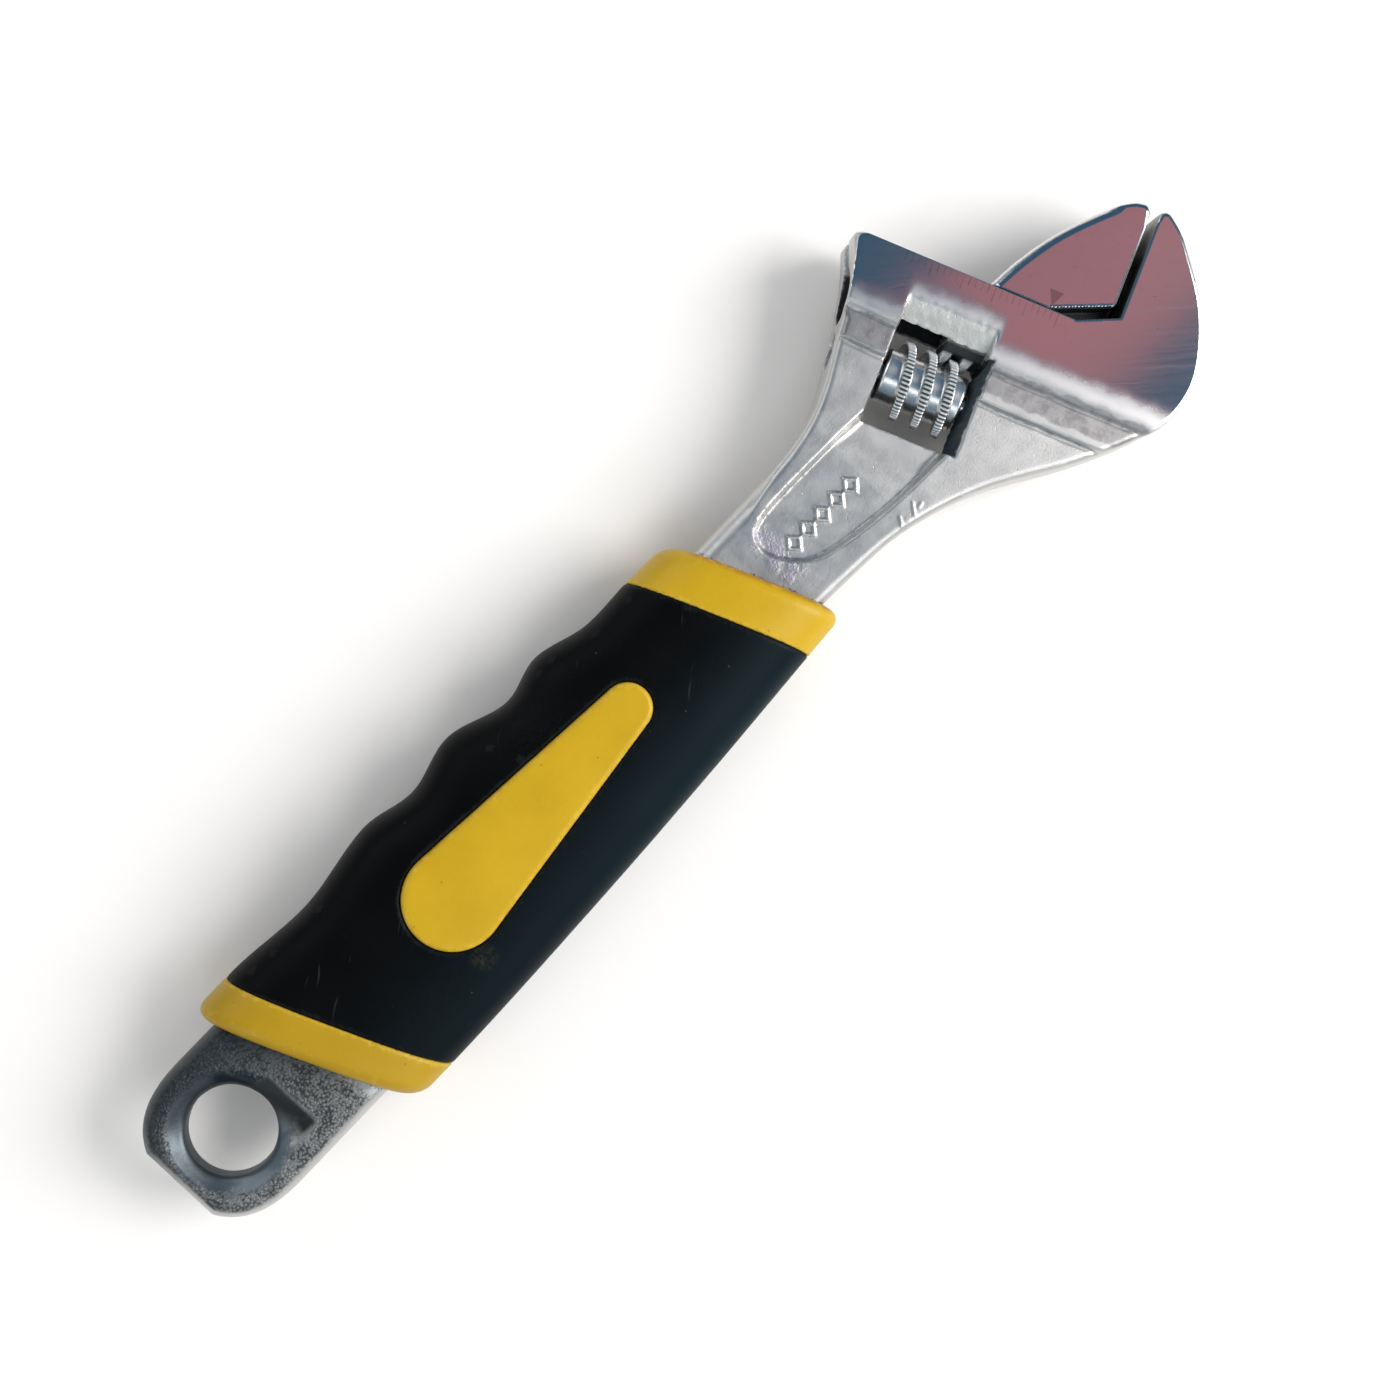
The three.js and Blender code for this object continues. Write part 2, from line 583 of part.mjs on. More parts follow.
const head = new THREE.Group();
head.position.set(HEAD_X, 0, 0);
head.rotation.z = HEAD_ANGLE;
head.add(mesh("movable_jaw", movableJaw(), STEEL, 0.3, 0.9));

const wormGroup = new THREE.Group();
wormGroup.position.set(WORM_U, 0, 0);
wormGroup.add(mesh("worm", worm(), STEEL, 0.25, 1));
wormGroup.add(mesh("worm_pin", wormPin(), DARK_STEEL, 0.4, 1));
wormGroup.add(mesh("worm_spring", wormSpring(), DARK_STEEL, 0.35, 1));
head.add(wormGroup);

const wrench = new THREE.Group();
wrench.add(handle, head);
wrench.updateMatrixWorld(true);
const extent = new THREE.Box3().setFromObject(wrench, true);
const middle = extent.getCenter(new THREE.Vector3());
wrench.position.set(-middle.x, -middle.y, -extent.min.z);

export default wrench;
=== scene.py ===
"""An adjustable wrench with a two-colour grip: the looks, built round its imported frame.

Every form is a field, negative inside the steel or plastic, that carve() turns into a fine mesh.
Lengths in the fields are millimetres in the handle's frame, whose origin is the middle of the hang
hole, or in the head's frame, where u is the way the jaws reach and v the way the jaw opens.
"""
import json
import math

import bpy
import numpy as np
from mathutils import Matrix, Vector


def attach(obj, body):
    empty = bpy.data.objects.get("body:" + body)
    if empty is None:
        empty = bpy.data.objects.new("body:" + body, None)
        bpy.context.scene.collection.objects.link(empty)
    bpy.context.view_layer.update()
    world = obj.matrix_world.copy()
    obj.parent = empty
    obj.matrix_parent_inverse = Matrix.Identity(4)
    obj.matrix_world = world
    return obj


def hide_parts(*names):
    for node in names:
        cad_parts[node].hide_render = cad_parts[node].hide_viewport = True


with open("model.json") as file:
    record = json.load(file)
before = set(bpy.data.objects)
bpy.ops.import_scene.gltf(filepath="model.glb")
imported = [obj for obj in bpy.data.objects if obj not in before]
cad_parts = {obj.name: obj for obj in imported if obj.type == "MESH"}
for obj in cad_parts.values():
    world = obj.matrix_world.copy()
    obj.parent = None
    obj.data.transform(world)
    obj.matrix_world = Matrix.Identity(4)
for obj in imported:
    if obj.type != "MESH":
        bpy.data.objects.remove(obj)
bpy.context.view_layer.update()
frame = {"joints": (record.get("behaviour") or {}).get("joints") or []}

MM = 0.001
CREASE = math.radians(34)  # faces that meet more sharply than this keep a crisp edge

# How far apart the grid lines are that each piece is carved on
JAW_GRID = 0.2
WORM_GRID = 0.115
PIN_GRID = 0.16
GRIP_GRID = 0.42

# ---- Sizes of the forging, as in its design ----
TAIL_END = 10.5
HEAD_X = 157.4
HANG_HOLE_R = 6.5
DISH_DEPTH = 1.3
TAIL_HALF_WIDTH = 12.2
TAIL_FLAT_HALF = 6.4
TAIL_CORNER = 7.6
SHANK_HALF_WIDTH = 9.6
PALM_SIDE_TRIM = 0.5
SHANK_HALF = 3.8
NECK_HALF = 5.0
BAND_HALF = 5.6
HEAD_HALF = 6.2
HEAD_STEP_U = -3.1
BAND_STEP_U = -8.0
STEP_SHIFT = 1.0  # the steps sit this much lower on the palm side of the window
PANEL_DEPTH = 1.0

MARK_START = 114.6
MARK_END = 129.4
MARK_STEP = 2.96
MARK_Y = 0.2
MARK_HALF_HEIGHT = 1.6
WALL_LEAN = 1.3  # how far the window's palm-side wall leans out by the top
CASTING_NICKS = [
    ((128.6, -9.4), (129.5, -8.1)), ((131.1, -9.6), (132.3, -8.0)), ((132.4, -9.2), (133.2, -9.0)),
]

# ---- Sizes of the jaws ----
FRONT_U = 7.6
FIXED_FACE_V = -16.6
JAW_FACE_V = -15.25
JAW_REACH = 27.8
JAW_HALF = 6.0
THROAT_U = 10.4
THROAT_V = -10.5
HEAD_BACK_V = 24.5
HEEL_U = 11.8
HEEL_V = -6.1
LEAF_BACK_V = 3.1
BASE_U = 7.8
BOSS_U = -0.9
BOSS_R = 4.0
BOSS_LENGTH = 21.1
WEB_HALF = 1.7
CLEARANCE = 0.3
CHANNEL_END = FIXED_FACE_V - 0.35

# ---- The etched scale on the head's front edge, and the jaw's pointer ----
SCALE_ZERO_V = -7.75
SCALE_LENGTH = 24
SCALE_LINE = 0.16
POINTER_U = 8.1
POINTER_V = -6.35

# ---- Sizes of the worm, its pin and its spring ----
WORM_U = -9.3
WORM_MID_V = 6.65
WORM_LENGTH = 12.59
THREAD_PITCH = 3.35
THREAD_MID_V = 6.3
THREAD_TURNS = 3
THREAD_R = 5.8
THREAD_ROOT_R = 4.1
CREST_WIDTH = 1.1
ROOT_WIDTH = 1.7
RACK_GAPS = 7
WINDOW = (-17.7, -2.7, -0.1, 13.4)  # low and high u, low and high v
PIN_R = 1.5
PIN_HEAD_R = 2.6
PIN_HEAD_LENGTH = 2.2
PIN_HEAD_V = 19.6
PIN_TIP_V = -6.1
SPRING_WIRE_R = 0.3
SPRING_R = 2.25
SPRING_POCKET = 4.0
SPRING_TURNS = 3.5

# ---- Sizes of the grip ----
GRIP_SLANT = math.radians(22.5)
GRIP_REAR = 14.7
REAR_SEAM = 21.4
FRONT_SEAM = 100.5
GRIP_FRONT = 108.6
GRIP_HALF = 9.0
SECTION_POWER = 2.8
COVER_WALL = 1.3
INLAY_PROUD = 0.3
INLAY_WIDE = (45.4, 0.25, 7.3)
INLAY_NARROW = (81.7, 1.3, 3.65)
FINGER_EDGE = [
    (-10, 15.2), (16, 15.6), (30, 14.6), (43.5, 16.4), (52, 14.95), (61, 16.8), (70.5, 14.2),
    (78, 15.7), (86.5, 13.7), (96, 13.8), (130, 12.5),
]
PALM_EDGE = [(-10, 15.9), (30, 16.2), (60, 15.4), (85, 14.2), (110, 12.6), (130, 11.5)]

# ---- Where the frame puts them ----
joints = {joint["name"]: joint for joint in frame["joints"]}
slide_axis = joints["jaw_slide"]["axis"]
HEAD_ANGLE = math.atan2(-slide_axis[0], slide_axis[1])
TURN = (math.cos(HEAD_ANGLE), math.sin(HEAD_ANGLE))
worm_middle = [value / MM for value in joints["worm_spin"]["pos_m"]]
HANDLE_ORIGIN = (
    worm_middle[0] - HEAD_X - WORM_U * TURN[0] + WORM_MID_V * TURN[1],
    worm_middle[1] - WORM_U * TURN[1] - WORM_MID_V * TURN[0],
    worm_middle[2],
)
HANDLE_PLACE = Matrix.Scale(MM, 4) @ Matrix.Translation(HANDLE_ORIGIN)
HEAD_PLACE = HANDLE_PLACE @ Matrix.Translation((HEAD_X, 0, 0)) @ Matrix.Rotation(HEAD_ANGLE, 4, "Z")


# ---- Fields: how they join, cut and round ----
def clamp(value, low=0.0, high=1.0):
    return np.minimum(np.maximum(value, low), high)


def ease(value):
    """A soft step from 0 to 1 as value goes from 0 to 1."""
    t = clamp(value)
    return t * t * (3 - 2 * t)


def both(a, b, radius=0.0):
    """What lies in a and in b, with the edge where they meet rounded."""
    if np.isscalar(radius) and not radius:
        return np.maximum(a, b)
    inner = np.minimum(np.maximum(a, b), -radius)
    return inner + np.sqrt(np.maximum(a + radius, 0) ** 2 + np.maximum(b + radius, 0) ** 2)


def joined(a, b, radius=0.0):
    """What lies in a or in b, with a fillet where they meet."""
    return -both(-a, -b, radius)


def without(a, b, radius=0.0):
    """a with b cut out of it."""
    return both(a, -b, radius)


def cylinder(a, b, radius):
    return np.sqrt(a * a + b * b) - radius


def block(a, low_a, high_a, b, low_b, high_b, radius=0.0):
    """The distance to a rectangle with round corners."""
    da = np.abs(a - (low_a + high_a) / 2) - (high_a - low_a) / 2 + radius
    db = np.abs(b - (low_b + high_b) / 2) - (high_b - low_b) / 2 + radius
    outside = np.sqrt(np.maximum(da, 0) ** 2 + np.maximum(db, 0) ** 2)
    return outside + np.minimum(np.maximum(da, db), 0) - radius


def to_head(x, y):
    """The head frame's u and v of a place in the handle's frame."""
    dx = x - HEAD_X
    return dx * TURN[0] + y * TURN[1], y * TURN[0] - dx * TURN[1]


def from_head(u, v):
    return HEAD_X + u * TURN[0] - v * TURN[1], u * TURN[1] + v * TURN[0]


def smooth_line(points, x):
    """A smooth curve through the listed (x, y) points, read at x."""
    xs, ys = (np.array(side, float) for side in zip(*points))
    slope = np.gradient(ys, xs)
    slope[1:-1] = (ys[2:] - ys[:-2]) / (xs[2:] - xs[:-2])
    i = np.clip(np.searchsorted(xs, x) - 1, 0, len(xs) - 2)
    span = xs[i + 1] - xs[i]
    t = (x - xs[i]) / span
    bend = span * (slope[i] * t * (1 - t) ** 2 - slope[i + 1] * t * t * (1 - t))
    return ys[i] + (ys[i + 1] - ys[i]) * t * t * (3 - 2 * t) + bend


def through(points, steps=8):
    """Points along the smooth curve that passes through the given ones."""
    pts = np.array(points, float)
    padded = np.vstack([2 * pts[0] - pts[1], pts, 2 * pts[-1] - pts[-2]])
    out = [pts[0]]
    for a, b, c, d in zip(padded, padded[1:], padded[2:], padded[3:]):
        for k in range(1, steps + 1):
            t = k / steps
            out.append(
                b + 0.5 * t * (c - a + t * (2 * a - 5 * b + 4 * c - d + t * (3 * (b - c) + d - a)))
            )
    return [tuple(p) for p in out]


def bend(start, aim, end, steps=10):
    """Points along the curve that leaves start towards aim and comes from aim to end."""
    ts = [k / steps for k in range(steps + 1)]
    return [
        tuple((1 - t) ** 2 * s + 2 * t * (1 - t) * a + t * t * e for s, a, e in zip(start, aim, end))
        for t in ts
    ]


def along(table, value, low, step):
    """Reads a table of evenly spaced samples between them."""
    place = clamp((value - low) / step, 0, len(table) - 1.001)
    i = place.astype(np.int32)
    part = place - i
    return table[i] * (1 - part) + table[i + 1] * part


def make_bumps(seed):
    """A smooth random landscape from -1 to 1 with hills about one unit across."""
    table = np.random.default_rng(seed).uniform(-1, 1, (64, 64))

    def read(a, b):
        i, j = np.floor(a).astype(np.int32), np.floor(b).astype(np.int32)
        s, t = ease(a - i), ease(b - j)
        i0, j0, i1, j1 = i % 64, j % 64, (i + 1) % 64, (j + 1) % 64
        near = table[i0, j0] * (1 - s) + table[i1, j0] * s
        far = table[i0, j1] * (1 - s) + table[i1, j1] * s
        return near * (1 - t) + far * t

    return read


bumps = make_bumps(5)


class Outline:
    """A closed outline as distances on a fine sheet, negative inside, that can be read anywhere."""

    def __init__(self, points, step=0.15, margin=4.0, soften=0):
        pts = np.array(points, np.float32)
        self.step = step
        self.low = pts.min(0) - margin
        count = np.ceil((pts.max(0) + margin - self.low) / step).astype(int) + 1
        x = (self.low[0] + np.arange(count[0]) * step)[:, None]
        y = (self.low[1] + np.arange(count[1]) * step)[None, :]
        nearest = np.full((count[0], count[1]), 1e9, np.float32)
        inside = np.zeros(nearest.shape, bool)
        for (ax, ay), (bx, by) in zip(pts, np.roll(pts, -1, 0)):
            dx, dy = bx - ax, by - ay
            length = dx * dx + dy * dy
            if length < 1e-9:
                continue
            t = clamp(((x - ax) * dx + (y - ay) * dy) / length)
            np.minimum(nearest, (x - ax - t * dx) ** 2 + (y - ay - t * dy) ** 2, out=nearest)
            crosses = (ay > y) != (by > y)
            inside ^= crosses & (x < ax + (y - ay) * dx / (dy if dy else 1))
        self.sheet = np.sqrt(nearest) * np.where(inside, -1, 1)
        for _ in range(soften):
            wide = np.pad(self.sheet, 1, mode="edge")
            wide = (wide[:-2] + 2 * wide[1:-1] + wide[2:]) / 4
            self.sheet = (wide[:, :-2] + 2 * wide[:, 1:-1] + wide[:, 2:]) / 4

    def __call__(self, x, y):
        gx = clamp((x - self.low[0]) / self.step, 0, self.sheet.shape[0] - 1.001)
        gy = clamp((y - self.low[1]) / self.step, 0, self.sheet.shape[1] - 1.001)
        i, j = gx.astype(np.int32), gy.astype(np.int32)
        s, t = gx - i, gy - j
        sheet = self.sheet
        return (
            sheet[i, j] * (1 - s) * (1 - t)
            + sheet[i + 1, j] * s * (1 - t)
            + sheet[i, j + 1] * (1 - s) * t
            + sheet[i + 1, j + 1] * s * t
        )


# ---- From a field to a mesh ----
def crossings(value, inside):
    """One point in each small cell that the surface passes through, and each cell's number."""
    size = [n - 1 for n in value.shape]
    corners = [(i, j, k) for i in (0, 1) for j in (0, 1) for k in (0, 1)]

    def corner(array, c):
        return array[tuple(slice(c[d], c[d] + size[d]) for d in range(3))]

    count = sum(corner(inside, c).astype(np.int8) for c in corners)
    cells = np.argwhere((count > 0) & (count < 8))
    total = np.zeros((len(cells), 3), np.float32)
    hits = np.zeros(len(cells), np.float32)
    at = {c: value[cells[:, 0] + c[0], cells[:, 1] + c[1], cells[:, 2] + c[2]] for c in corners}
    for c in corners:
        for d in range(3):
            if c[d]:
                continue
            e = tuple(c[n] + (n == d) for n in range(3))
            cut = (at[c] < 0) != (at[e] < 0)
            gap = at[c] - at[e]
            t = np.where(cut, at[c] / np.where(gap == 0, 1, gap), 0)
            for n in range(3):
                total[:, n] += np.where(cut, c[n] + (t if n == d else 0), 0)
            hits += cut
    number = np.full(size, -1, np.int32)
    number[cells[:, 0], cells[:, 1], cells[:, 2]] = np.arange(len(cells))
    return cells + total / hits[:, None], number


def walls(inside, number):
    """The four-sided faces between neighbouring cells, turned to face outwards."""
    faces = []
    for d in range(3):
        here = inside[tuple(slice(0, -1) if n == d else slice(None) for n in range(3))]
        beyond = inside[tuple(slice(1, None) if n == d else slice(None) for n in range(3))]
        spot = np.argwhere(here != beyond)
        a, b = np.eye(3, dtype=int)[(d + 1) % 3], np.eye(3, dtype=int)[(d + 2) % 3]
        ring = [spot - a - b, spot - b, spot, spot - a]
        quad = np.stack([number[r[:, 0], r[:, 1], r[:, 2]] for r in ring], 1)
        leaving = here[spot[:, 0], spot[:, 1], spot[:, 2]]
        faces.append(np.where(leaving[:, None], quad, quad[:, ::-1]))
    return np.concatenate(faces)


def settle(points, field, reach, rounds=3):
    """Moves points onto the surface, along the way the field changes fastest."""
    tiny = 0.02
    for _ in range(rounds):
        x, y, z = points.T
        value = field(x, y, z)
        slope = np.stack([
            field(x + tiny, y, z) - field(x - tiny, y, z),
            field(x, y + tiny, z) - field(x, y - tiny, z),
            field(x, y, z + tiny) - field(x, y, z - tiny),
        ], 1) / (2 * tiny)
        move = value[:, None] * slope / np.maximum((slope**2).sum(1), 0.05)[:, None]
        points = points - np.clip(move, -reach, reach)
    return points


def grid_line(*stretches):
    """Grid places along one direction, from (start, end, spacing) stretches that follow on."""
    parts = [np.linspace(a, b, max(round((b - a) / step), 1) + 1)[:-1] for a, b, step in stretches]
    return np.concatenate(parts + [[stretches[-1][1]]])


def even_grid(low, high, spacing):
    room = 2 * spacing
    return [grid_line((a - room, b + room, spacing)) for a, b in zip(low, high)]


def carve(name, field, grid, place=HANDLE_PLACE, crease=None):
    """Makes the piece where the field is negative, on a grid whose lines may be unevenly spaced."""
    x, y, z = np.meshgrid(*grid, indexing="ij", sparse=True)
    value = np.broadcast_to(field(x, y, z), [len(line) for line in grid]).astype(np.float32)
    inside = value < 0
    cells, number = crossings(value, inside)
    points = np.stack([np.interp(c, np.arange(len(g)), g) for c, g in zip(cells.T, grid)], 1)
    points = settle(points, field, 0.12)
    return make_piece(name, points, walls(inside, number), place, crease)


def make_piece(name, points, faces, place, crease=None):
    mesh = bpy.data.meshes.new(name)
    mesh.vertices.add(len(points))
    mesh.vertices.foreach_set("co", np.asarray(points, np.float32).ravel())
    mesh.loops.add(faces.size)
    mesh.loops.foreach_set("vertex_index", faces.astype(np.int32).ravel())
    mesh.polygons.add(len(faces))
    starts = np.arange(0, faces.size, faces.shape[1], dtype=np.int32)
    mesh.polygons.foreach_set("loop_start", starts)
    mesh.update(calc_edges=True)
    mesh.validate()
    mesh.transform(place)
    mesh.shade_smooth()
    if crease:
        mesh.set_sharp_from_angle(angle=crease)
    piece = bpy.data.objects.new(name, mesh)
    bpy.context.scene.collection.objects.link(piece)
    return piece


# ---- The forging ----
def tail_side(side):
    hidden = GRIP_REAR - side * TAIL_HALF_WIDTH * math.tan(GRIP_SLANT)
    wide, narrow = side * TAIL_HALF_WIDTH, side * SHANK_HALF_WIDTH
    corner = bend((-TAIL_END, side * TAIL_FLAT_HALF), (-TAIL_CORNER, wide), (1, wide))
    return corner + [(hidden + 2, wide), (hidden + 10, narrow)]


def forging_outline():
    neck_start = GRIP_FRONT - 4
    palm = through([
        (neck_start, PALM_SIDE_TRIM - SHANK_HALF_WIDTH),
        (GRIP_FRONT + 8, -9.3),
        (HEAD_X - 28.5, -10.4),
        (HEAD_X - 16.5, -14.4),
        from_head(-11.8, -18.6),
        from_head(-4, -26.8),
        from_head(1.8, -29.9),
        from_head(8, -30.3),
        from_head(16.2, -27.6),
        from_head(JAW_REACH - 4.4, -22.6),
        from_head(JAW_REACH - 0.6, FIXED_FACE_V - 2.2),
        from_head(JAW_REACH, FIXED_FACE_V - 0.8),
    ])
    mouth = [
        from_head(JAW_REACH - 0.6, FIXED_FACE_V),
        from_head(THROAT_U, FIXED_FACE_V),
        from_head(FRONT_U, THROAT_V),
        from_head(FRONT_U, HEAD_BACK_V - 1.1),
        from_head(FRONT_U - 0.3, HEAD_BACK_V - 0.3),
    ]
    back = through([
        from_head(FRONT_U - 1.1, HEAD_BACK_V),
        from_head(0, HEAD_BACK_V - 2.2),
        (HEAD_X - 16.2, 16.4),
        (HEAD_X - 22.4, 13.0),
        (HEAD_X - 28.4, 10.9),
        (GRIP_FRONT + 12, 9.9),
        (neck_start, SHANK_HALF_WIDTH),
    ])
    return tail_side(-1) + palm + mouth + back + tail_side(1)[::-1]


def panel_outline():
    start = from_head(WINDOW[0] + 1, WINDOW[3] + 0.1)
    end = from_head(WINDOW[0] + 1, WINDOW[2] - 0.1)
    return through([
        start,
        (HEAD_X - 28, 6.4),
        (GRIP_FRONT + 6.8, 6.2),
        (GRIP_FRONT + 3.6, 3.2),
        (GRIP_FRONT + 5.2, -1),
        (GRIP_FRONT + 9.8, -4.2),
        (HEAD_X - 28, -6),
        end,
    ])


forging = Outline(forging_outline())
panel = Outline(panel_outline())
dish = Outline(
    bend((-9.2, 0), (-9, 9.2), (0, 8.9)) + [(4.6, 7.9), (6.4, 5.6), (8.0, 1.2), (9.6, -4.6)]
    + bend((9.9, -6.2), (10.2, -8), (8.4, -8.1)) + [(4, -8.4)] + bend((0, -9), (-9.2, -9), (-9.2, 0)),
    soften=24,
)


def sunk_depth(x, y, u, v):
    """How far the panel, the hollows at the window's ends and the tail's dish sink the faces."""
    depth = PANEL_DEPTH * ease(0.5 - panel(x, y) / 0.9)
    low_u, high_u, low_v, high_v = WINDOW
    beside = ease((v - low_v + 0.5) / 0.5) * ease((high_v + 0.4 - v) / 0.5)
    rise = clamp((u - high_u + 0.12 * bumps(v * 1.3, u)) / 4.9)
    run_out = 2.1 * (1 - ease(rise) ** 0.8) * (u > low_u + 1) * beside
    dip = 0.6 * ease((u - low_u + 5.5) / 4.5) * ease(0.3 - panel(x, y) / 1.6)
    return np.maximum(depth + dip, run_out)


def rolled(distance, width):
    """From 0 to 1: a crisp foot, then a round shoulder as wide as given."""
    return 1 - (1 - clamp(distance / width)) ** 2.6


def stroke(x, y, start, end, half):
    """The distance to a short straight rib."""
    (ax, ay), (bx, by) = start, end
    dx, dy = bx - ax, by - ay
    t = clamp(((x - ax) * dx + (y - ay) * dy) / (dx * dx + dy * dy))
    return np.sqrt((x - ax - t * dx) ** 2 + (y - ay - t * dy) ** 2) - half


def raised_marks(x, y):
    """A chain of small lozenges cast on the panel's floor, and a few casting nicks beside it."""
    across = np.abs(y - MARK_Y) / MARK_HALF_HEIGHT
    count = round((MARK_END - MARK_START) / MARK_STEP)
    turn = np.clip(np.floor((x - MARK_START) / MARK_STEP), 0, count - 1)
    inward = np.abs(x - MARK_START - (turn + 0.5) * MARK_STEP) / (MARK_STEP * 0.47)
    ring = np.abs(across + inward - 0.8)
    height = 0.24 * ease((0.34 - ring) / 0.26) * (across + inward < 1.2)
    for start, end in CASTING_NICKS:
        height = height + 0.11 * ease(0.5 - stroke(x, y, start, end, 0.14) / 0.3)
    return height


def rough_casting(x, y):
    """The tail's coarse skin, as cast."""
    coarse = bumps(x / 1.15, y / 1.15) + 0.7 * bumps(x / 0.62 + 31, y / 0.62)
    return 0.06 * coarse * ease((17 - x) / 2) * ease(dish(x, y) / 0.7)


def half_thickness(x, y):
    u, v = to_head(x, y)
    shifted = u + STEP_SHIFT * (v < WORM_MID_V) + 0.14 * bumps(v / 2.2, 7.5)
    steps = NECK_HALF + (BAND_HALF - NECK_HALF) * rolled(shifted - BAND_STEP_U, 0.6)
    steps = steps + (HEAD_HALF - BAND_HALF) * rolled(shifted - HEAD_STEP_U, 2.0)
    for at in (BAND_STEP_U, HEAD_STEP_U):
        steps = steps - 0.16 * np.exp(-(((shifted - at + 0.3) / 0.3) ** 2))
    neck = clamp((x - GRIP_FRONT) / (HEAD_X - 22 - GRIP_FRONT))
    shank = SHANK_HALF + 1.5 * neck + 0.18 * np.maximum(x - HEAD_X + 22, 0)
    thick = np.minimum(shank, steps) - sunk_depth(x, y, u, v)
    thick = thick + 0.008 * bumps(x / 4.1, y / 4.1) * (u < HEAD_STEP_U)
    thick = thick - DISH_DEPTH * ease(-dish(x, y) / 2.8 + 0.05)
    return thick + rough_casting(x, y)


def channel_field(u, v, z):
    bore = cylinder(u - BOSS_U, z, BOSS_R + CLEARANCE)
    half = WEB_HALF + CLEARANCE
    slot = block(u, BOSS_U, HEEL_U + 8, z, -half, half)
    return both(joined(bore, slot), CHANNEL_END - v)


def pin_hole_field(u, v, z):
    radial = np.sqrt((u - WORM_U) ** 2 + z * z)
    shaft = both(radial - PIN_R - CLEARANCE, PIN_TIP_V - CLEARANCE - v)
    seat = both(radial - PIN_HEAD_R - CLEARANCE, PIN_HEAD_V - PIN_HEAD_LENGTH - CLEARANCE - v)
    return joined(shaft, seat)


def forging_field(x, y, z):
    u, v = to_head(x, y)
    ground = ease((u - HEAD_STEP_U + 2) / 2)
    edge = 1.5 - 0.5 * ease((x - GRIP_FRONT) / 30) - 0.82 * ground
    edge = edge + 1.0 * ease((v - HEAD_BACK_V + 2.2) / 1.8) + 0.4 * ease((u - JAW_REACH + 3) / 3)
    edge = edge + 0.35 * ease((-20 - v) / 3) * ground
    side = forging(x, y) + np.abs(z) * 0.05 * (1 - ground)
    half = half_thickness(x, y)
    upper = half + raised_marks(x, y)
    made = both(side, np.abs(z) - np.where(z > 0, upper, half), edge)
    frayed = 0.07 * bumps(u / 0.7, v / 0.7)
    low_u, high_u, low_v, high_v = WINDOW
    leaning = low_v - WALL_LEAN * clamp((np.abs(z) - 1.0) / 5.0)
    made = without(made, block(u, low_u, high_u, v, leaning, high_v, radius=0.25) + frayed, 0.35)
    made = without(made, cylinder(x, y, HANG_HOLE_R), 0.9)
    made = without(made, channel_field(u, v, z), 0.3)
    return without(made, pin_hole_field(u, v, z), 0.3)


def make_body():
    """Carved on a grid that lies along the head, so that the jaws' straight edges stay crisp."""
    tail_u, tail_v = to_head(0, 0)
    along_u = grid_line(
        (tail_u - 16, tail_u + 22, 0.3), (tail_u + 22, -57, 1.1), (-57, -41, 0.32),
        (-41, -25, 0.18), (-25, JAW_REACH + 0.8, 0.25),
    )
    along_v = grid_line(
        (-31.2, 9, 0.25), (9, 18, 0.18), (18, 32, 0.28), (32, tail_v - 16, 1.1),
        (tail_v - 16, tail_v + 16, 0.3),
    )
    up_z = grid_line((-6.8, -3.2, 0.24), (-3.2, 3.2, 0.4), (3.2, 6.8, 0.24))

    def field(u, v, z):
        return forging_field(*from_head(u, v), z)

    return carve("forged_body", field, [along_u, along_v, up_z], HEAD_PLACE, CREASE)


# ---- The movable jaw ----
def leaf_outline():
    tip = through([
        (JAW_REACH - 0.8, JAW_FACE_V),
        (JAW_REACH - 0.1, JAW_FACE_V + 0.6),
        (JAW_REACH, JAW_FACE_V + 1.4),
        (JAW_REACH - 0.7, JAW_FACE_V + 3.3),
        (JAW_REACH - 3.7, JAW_FACE_V + 6.9),
        (JAW_REACH - 9.3, JAW_FACE_V + 12),
        (JAW_REACH - 15, JAW_FACE_V + 15.8),
        (BASE_U, LEAF_BACK_V),
    ])
    return [(BASE_U, HEEL_V), (HEEL_U, JAW_FACE_V)] + tip


leaf = Outline(leaf_outline(), 0.1)
outer_edge = Outline(
    [(BASE_U - 9, LEAF_BACK_V + 5), (BASE_U - 9, -30), (JAW_REACH + 3, -30)] + leaf_outline()[3:],
    0.1,
)
web = Outline([
    (BOSS_U, JAW_FACE_V), (HEEL_U, JAW_FACE_V), (FRONT_U + 1, HEEL_V), (FRONT_U + 1, LEAF_BACK_V),
    (BOSS_U, LEAF_BACK_V),
], 0.1)


def thread_width(radius):
    share = clamp((radius - THREAD_ROOT_R) / (THREAD_R - THREAD_ROOT_R))
    return ROOT_WIDTH + (CREST_WIDTH - ROOT_WIDTH) * share


def rack_field(u, v, z):
    """The gaps between the rack's teeth, leaning with the worm's thread."""
    lean = THREAD_PITCH / (2 * math.pi * (THREAD_R + THREAD_ROOT_R) / 2)
    gap_v = THREAD_MID_V + THREAD_PITCH / 4
    from_gap = v + lean * z - gap_v
    turn = np.clip(np.round(from_gap / THREAD_PITCH), 1 - RACK_GAPS, 0)
    beside = np.abs(from_gap - turn * THREAD_PITCH) - thread_width(u - WORM_U) / 2 - CLEARANCE
    return both(beside, u - (WORM_U + THREAD_R + CLEARANCE), 0.15)


